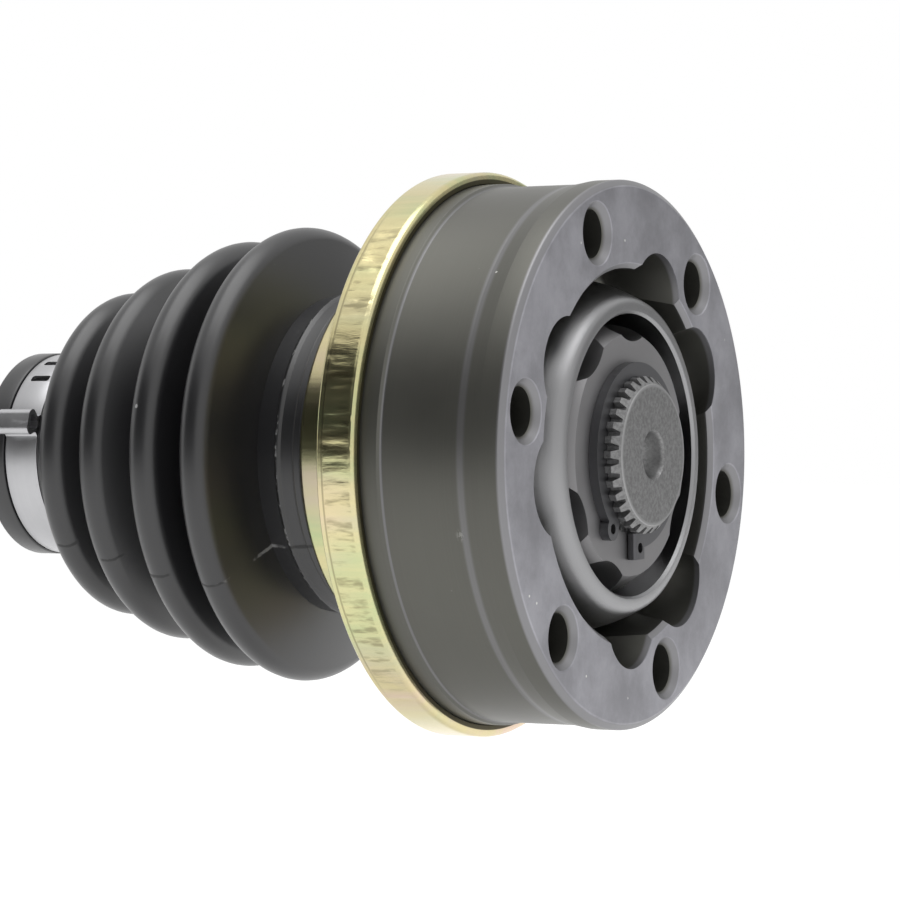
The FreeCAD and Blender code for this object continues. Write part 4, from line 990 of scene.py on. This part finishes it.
class HALFSHAFT_OT_bell(bpy.types.Operator):
    """Bell of the wheel-side joint with its splined and threaded stub"""
    bl_idname = "halfshaft.bell"
    bl_label = "Bell and stub"

    def execute(self, context):
        look = context.scene.half_shaft
        cavity = ball_side(WHEEL_CENTRE, 33.6, -487.2, -451.0, 24)
        outline = [(-487.2, 0)] + cavity + rounded([
            cavity[-1], (-446.0, 34.3), (-446.0, 41.5), (-446.8, 42.3), (-457.0, 42.3), (-457.6, 43.5, 0.5),
            (-474.0, 42.0, 12), (-484.5, 35.5, 6), (-491.0, 28.0, 1.5), (-493.0, 27.0), (-493.0, 17.4, 0.3),
            (-493.3, 17.0), (-504.0, 17.0), (-505.0, 16.0), (-505.0, 14.6), (-541.4, 14.6), (-543.0, 13.0),
            (-543.0, 9.8, 0.4), (-546.0, 9.8, 0.4), (-546.9, 11.0), (-568.5, 11.0), (-570.0, 9.5), (-570.0, 4.6),
            (-563.5, 0)], 5)[1:]
        piece = turned("wheel_bell", outline, 180, closed=False)
        carve(piece, [spline_gaps("stub_gaps", -544, 37, *STUB_TEETH), thread_tool(look.thread_pitch)])
        dress(piece, forged_steel(look), "outboard_joint", "outboard_bell", 28)
        return {"FINISHED"}


class HALFSHAFT_OT_hidden(bpy.types.Operator):
    """Finishes of the CAD pieces that stay as they are, inside the joints"""
    bl_idname = "halfshaft.hidden"
    bl_label = "Inner pieces"

    def execute(self, context):
        look = context.scene.half_shaft
        ring = bpy.data.materials["spring_ring"]
        finishes = {"outboard_inner_race": bpy.data.materials["hardened_race"],
                    "outboard_cage": bpy.data.materials["ground_cage"], "outboard_circlip": ring,
                    "outboard_dished_washer": ring, "inboard_dished_washer": ring,
                    "outboard_thrust_ring": nylon(look)}
        for node, finish in finishes.items():
            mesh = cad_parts[node].data
            mesh.materials.clear()
            mesh.materials.append(finish)
        return {"FINISHED"}


# ---- stage
def plain_material(name, colour, glow):
    """A matte surface that also gives off some light towards the camera."""
    material = bpy.data.materials.new(name)
    material.use_nodes = True
    shader = material.node_tree.nodes["Principled BSDF"].inputs
    shader["Base Color"].default_value = tone(colour)
    shader["Roughness"].default_value = 1.0
    shader["Specular IOR Level"].default_value = 0.0
    shader["Emission Color"].default_value = (1, 1, 1, 1)
    shader["Emission Strength"].default_value = glow
    return material


def shade_card(name, place, size, glow):
    """A card that shows only in the part's reflections."""
    bpy.ops.object.select_all(action="DESELECT")
    bpy.ops.mesh.primitive_plane_add(size=1, location=place)
    card = bpy.context.object
    card.name = card.data.name = name
    card.scale = size + (1,)
    card.rotation_euler = Vector(place).to_track_quat("Z", "Y").to_euler()
    card.data.materials.append(plain_material(name, (0.02, 0.02, 0.02), glow))
    card.visible_camera = False
    card.visible_diffuse = False
    card.visible_shadow = False
    bpy.ops.object.transform_apply(location=True, rotation=True, scale=True)
    return card


class HALFSHAFT_OT_stage(bpy.types.Operator):
    """Floor, surroundings, lamp and camera"""
    bl_idname = "halfshaft.stage"
    bl_label = "Stage"

    def execute(self, context):
        stage = context.scene.half_shaft_stage
        bpy.ops.object.select_all(action="DESELECT")
        bpy.ops.mesh.primitive_plane_add(size=40, location=(0, 0, -stage.floor_drop))
        floor = context.object
        floor.name = floor.data.name = "floor"
        floor.data.materials.append(plain_material("floor_white", colour=(0.8, 0.8, 0.8), glow=0.42))

        black = shade_card("dark_card", place=(-1.0, -1.8, 0.20), size=(3.4, 2.6), glow=0.012)
        grey = shade_card("grey_card", place=(1.3, 2.3, 0.15), size=(2.6, 2.2), glow=0.42)

        world = bpy.data.worlds.new("surroundings")
        context.scene.world = world
        world.use_nodes = True
        nodes, links = world.node_tree.nodes, world.node_tree.links
        rays = nodes.new("ShaderNodeLightPath")
        seen = rays.outputs["Is Camera Ray"]
        for kind in ("Is Glossy Ray", "Is Transmission Ray"):
            either = nodes.new("ShaderNodeMath")
            either.operation = "MAXIMUM"
            links.new(seen, either.inputs[0])
            links.new(rays.outputs[kind], either.inputs[1])
            seen = either.outputs[0]
        level = nodes.new("ShaderNodeMapRange")
        level.inputs["To Min"].default_value = stage.ambient
        level.inputs["To Max"].default_value = 1.0
        links.new(seen, level.inputs["Value"])
        sky = nodes["Background"]
        sky.inputs["Color"].default_value = (1, 1, 1, 1)
        links.new(level.outputs[0], sky.inputs["Strength"])

        bpy.ops.object.light_add(type="AREA", location=(0.1, -0.2, 1.4))
        lamp = context.object
        lamp.name = "top_lamp"
        lamp.data.shape = "RECTANGLE"
        lamp.data.size = 1.6
        lamp.data.size_y = 1.2
        lamp.data.energy = stage.top_lamp

        bpy.ops.object.camera_add()
        camera = context.object
        camera.name = "photo_camera"
        flat = math.cos(stage.pitch)
        forward = Vector((-math.sin(stage.yaw) * flat, math.cos(stage.yaw) * flat, math.sin(stage.pitch)))
        level_right = Vector((math.cos(stage.yaw), math.sin(stage.yaw), 0))
        level_up = level_right.cross(forward)
        right = level_right * math.cos(stage.roll) + level_up * math.sin(stage.roll)
        up = level_up * math.cos(stage.roll) - level_right * math.sin(stage.roll)
        turn = Matrix((right, up, -forward)).transposed().to_4x4()
        camera.matrix_world = Matrix.Translation(stage.place) @ turn
        camera.data.lens = stage.lens
        camera.data.sensor_width = 36.0
        camera.data.clip_end = 100
        context.scene.camera = camera
        context.scene.view_settings.view_transform = "Standard"
        return {"FINISHED"}


PIECES = (HALFSHAFT_OT_ring, HALFSHAFT_OT_cap, HALFSHAFT_OT_star, HALFSHAFT_OT_cage, HALFSHAFT_OT_clip,
          HALFSHAFT_OT_balls, HALFSHAFT_OT_bar, HALFSHAFT_OT_boot, HALFSHAFT_OT_wheel_boot, HALFSHAFT_OT_bands,
          HALFSHAFT_OT_bell, HALFSHAFT_OT_hidden, HALFSHAFT_OT_stage)


class HALFSHAFT_PT_panel(bpy.types.Panel):
    """Lists the steps that build the half shaft"""
    bl_label = "Half shaft"
    bl_space_type = "VIEW_3D"
    bl_region_type = "UI"
    bl_category = "Half shaft"

    def draw(self, context):
        for piece in PIECES:
            self.layout.operator(piece.bl_idname, text=piece.bl_label)
        for values in (context.scene.half_shaft, context.scene.half_shaft_stage):
            for name in type(values).__annotations__:
                self.layout.prop(values, name)


CLASSES = (HalfShaftLook, HalfShaftStage, HALFSHAFT_PT_panel) + PIECES


def register():
    for item in CLASSES:
        bpy.utils.register_class(item)
    bpy.types.Scene.half_shaft = bpy.props.PointerProperty(type=HalfShaftLook)
    bpy.types.Scene.half_shaft_stage = bpy.props.PointerProperty(type=HalfShaftStage)


def unregister():
    del bpy.types.Scene.half_shaft_stage
    del bpy.types.Scene.half_shaft
    for item in reversed(CLASSES):
        bpy.utils.unregister_class(item)


def main():
    register()
    for piece in PIECES:
        group, name = piece.bl_idname.split(".")
        getattr(getattr(bpy.ops, group), name)()


if __name__ == "__main__":
    main()
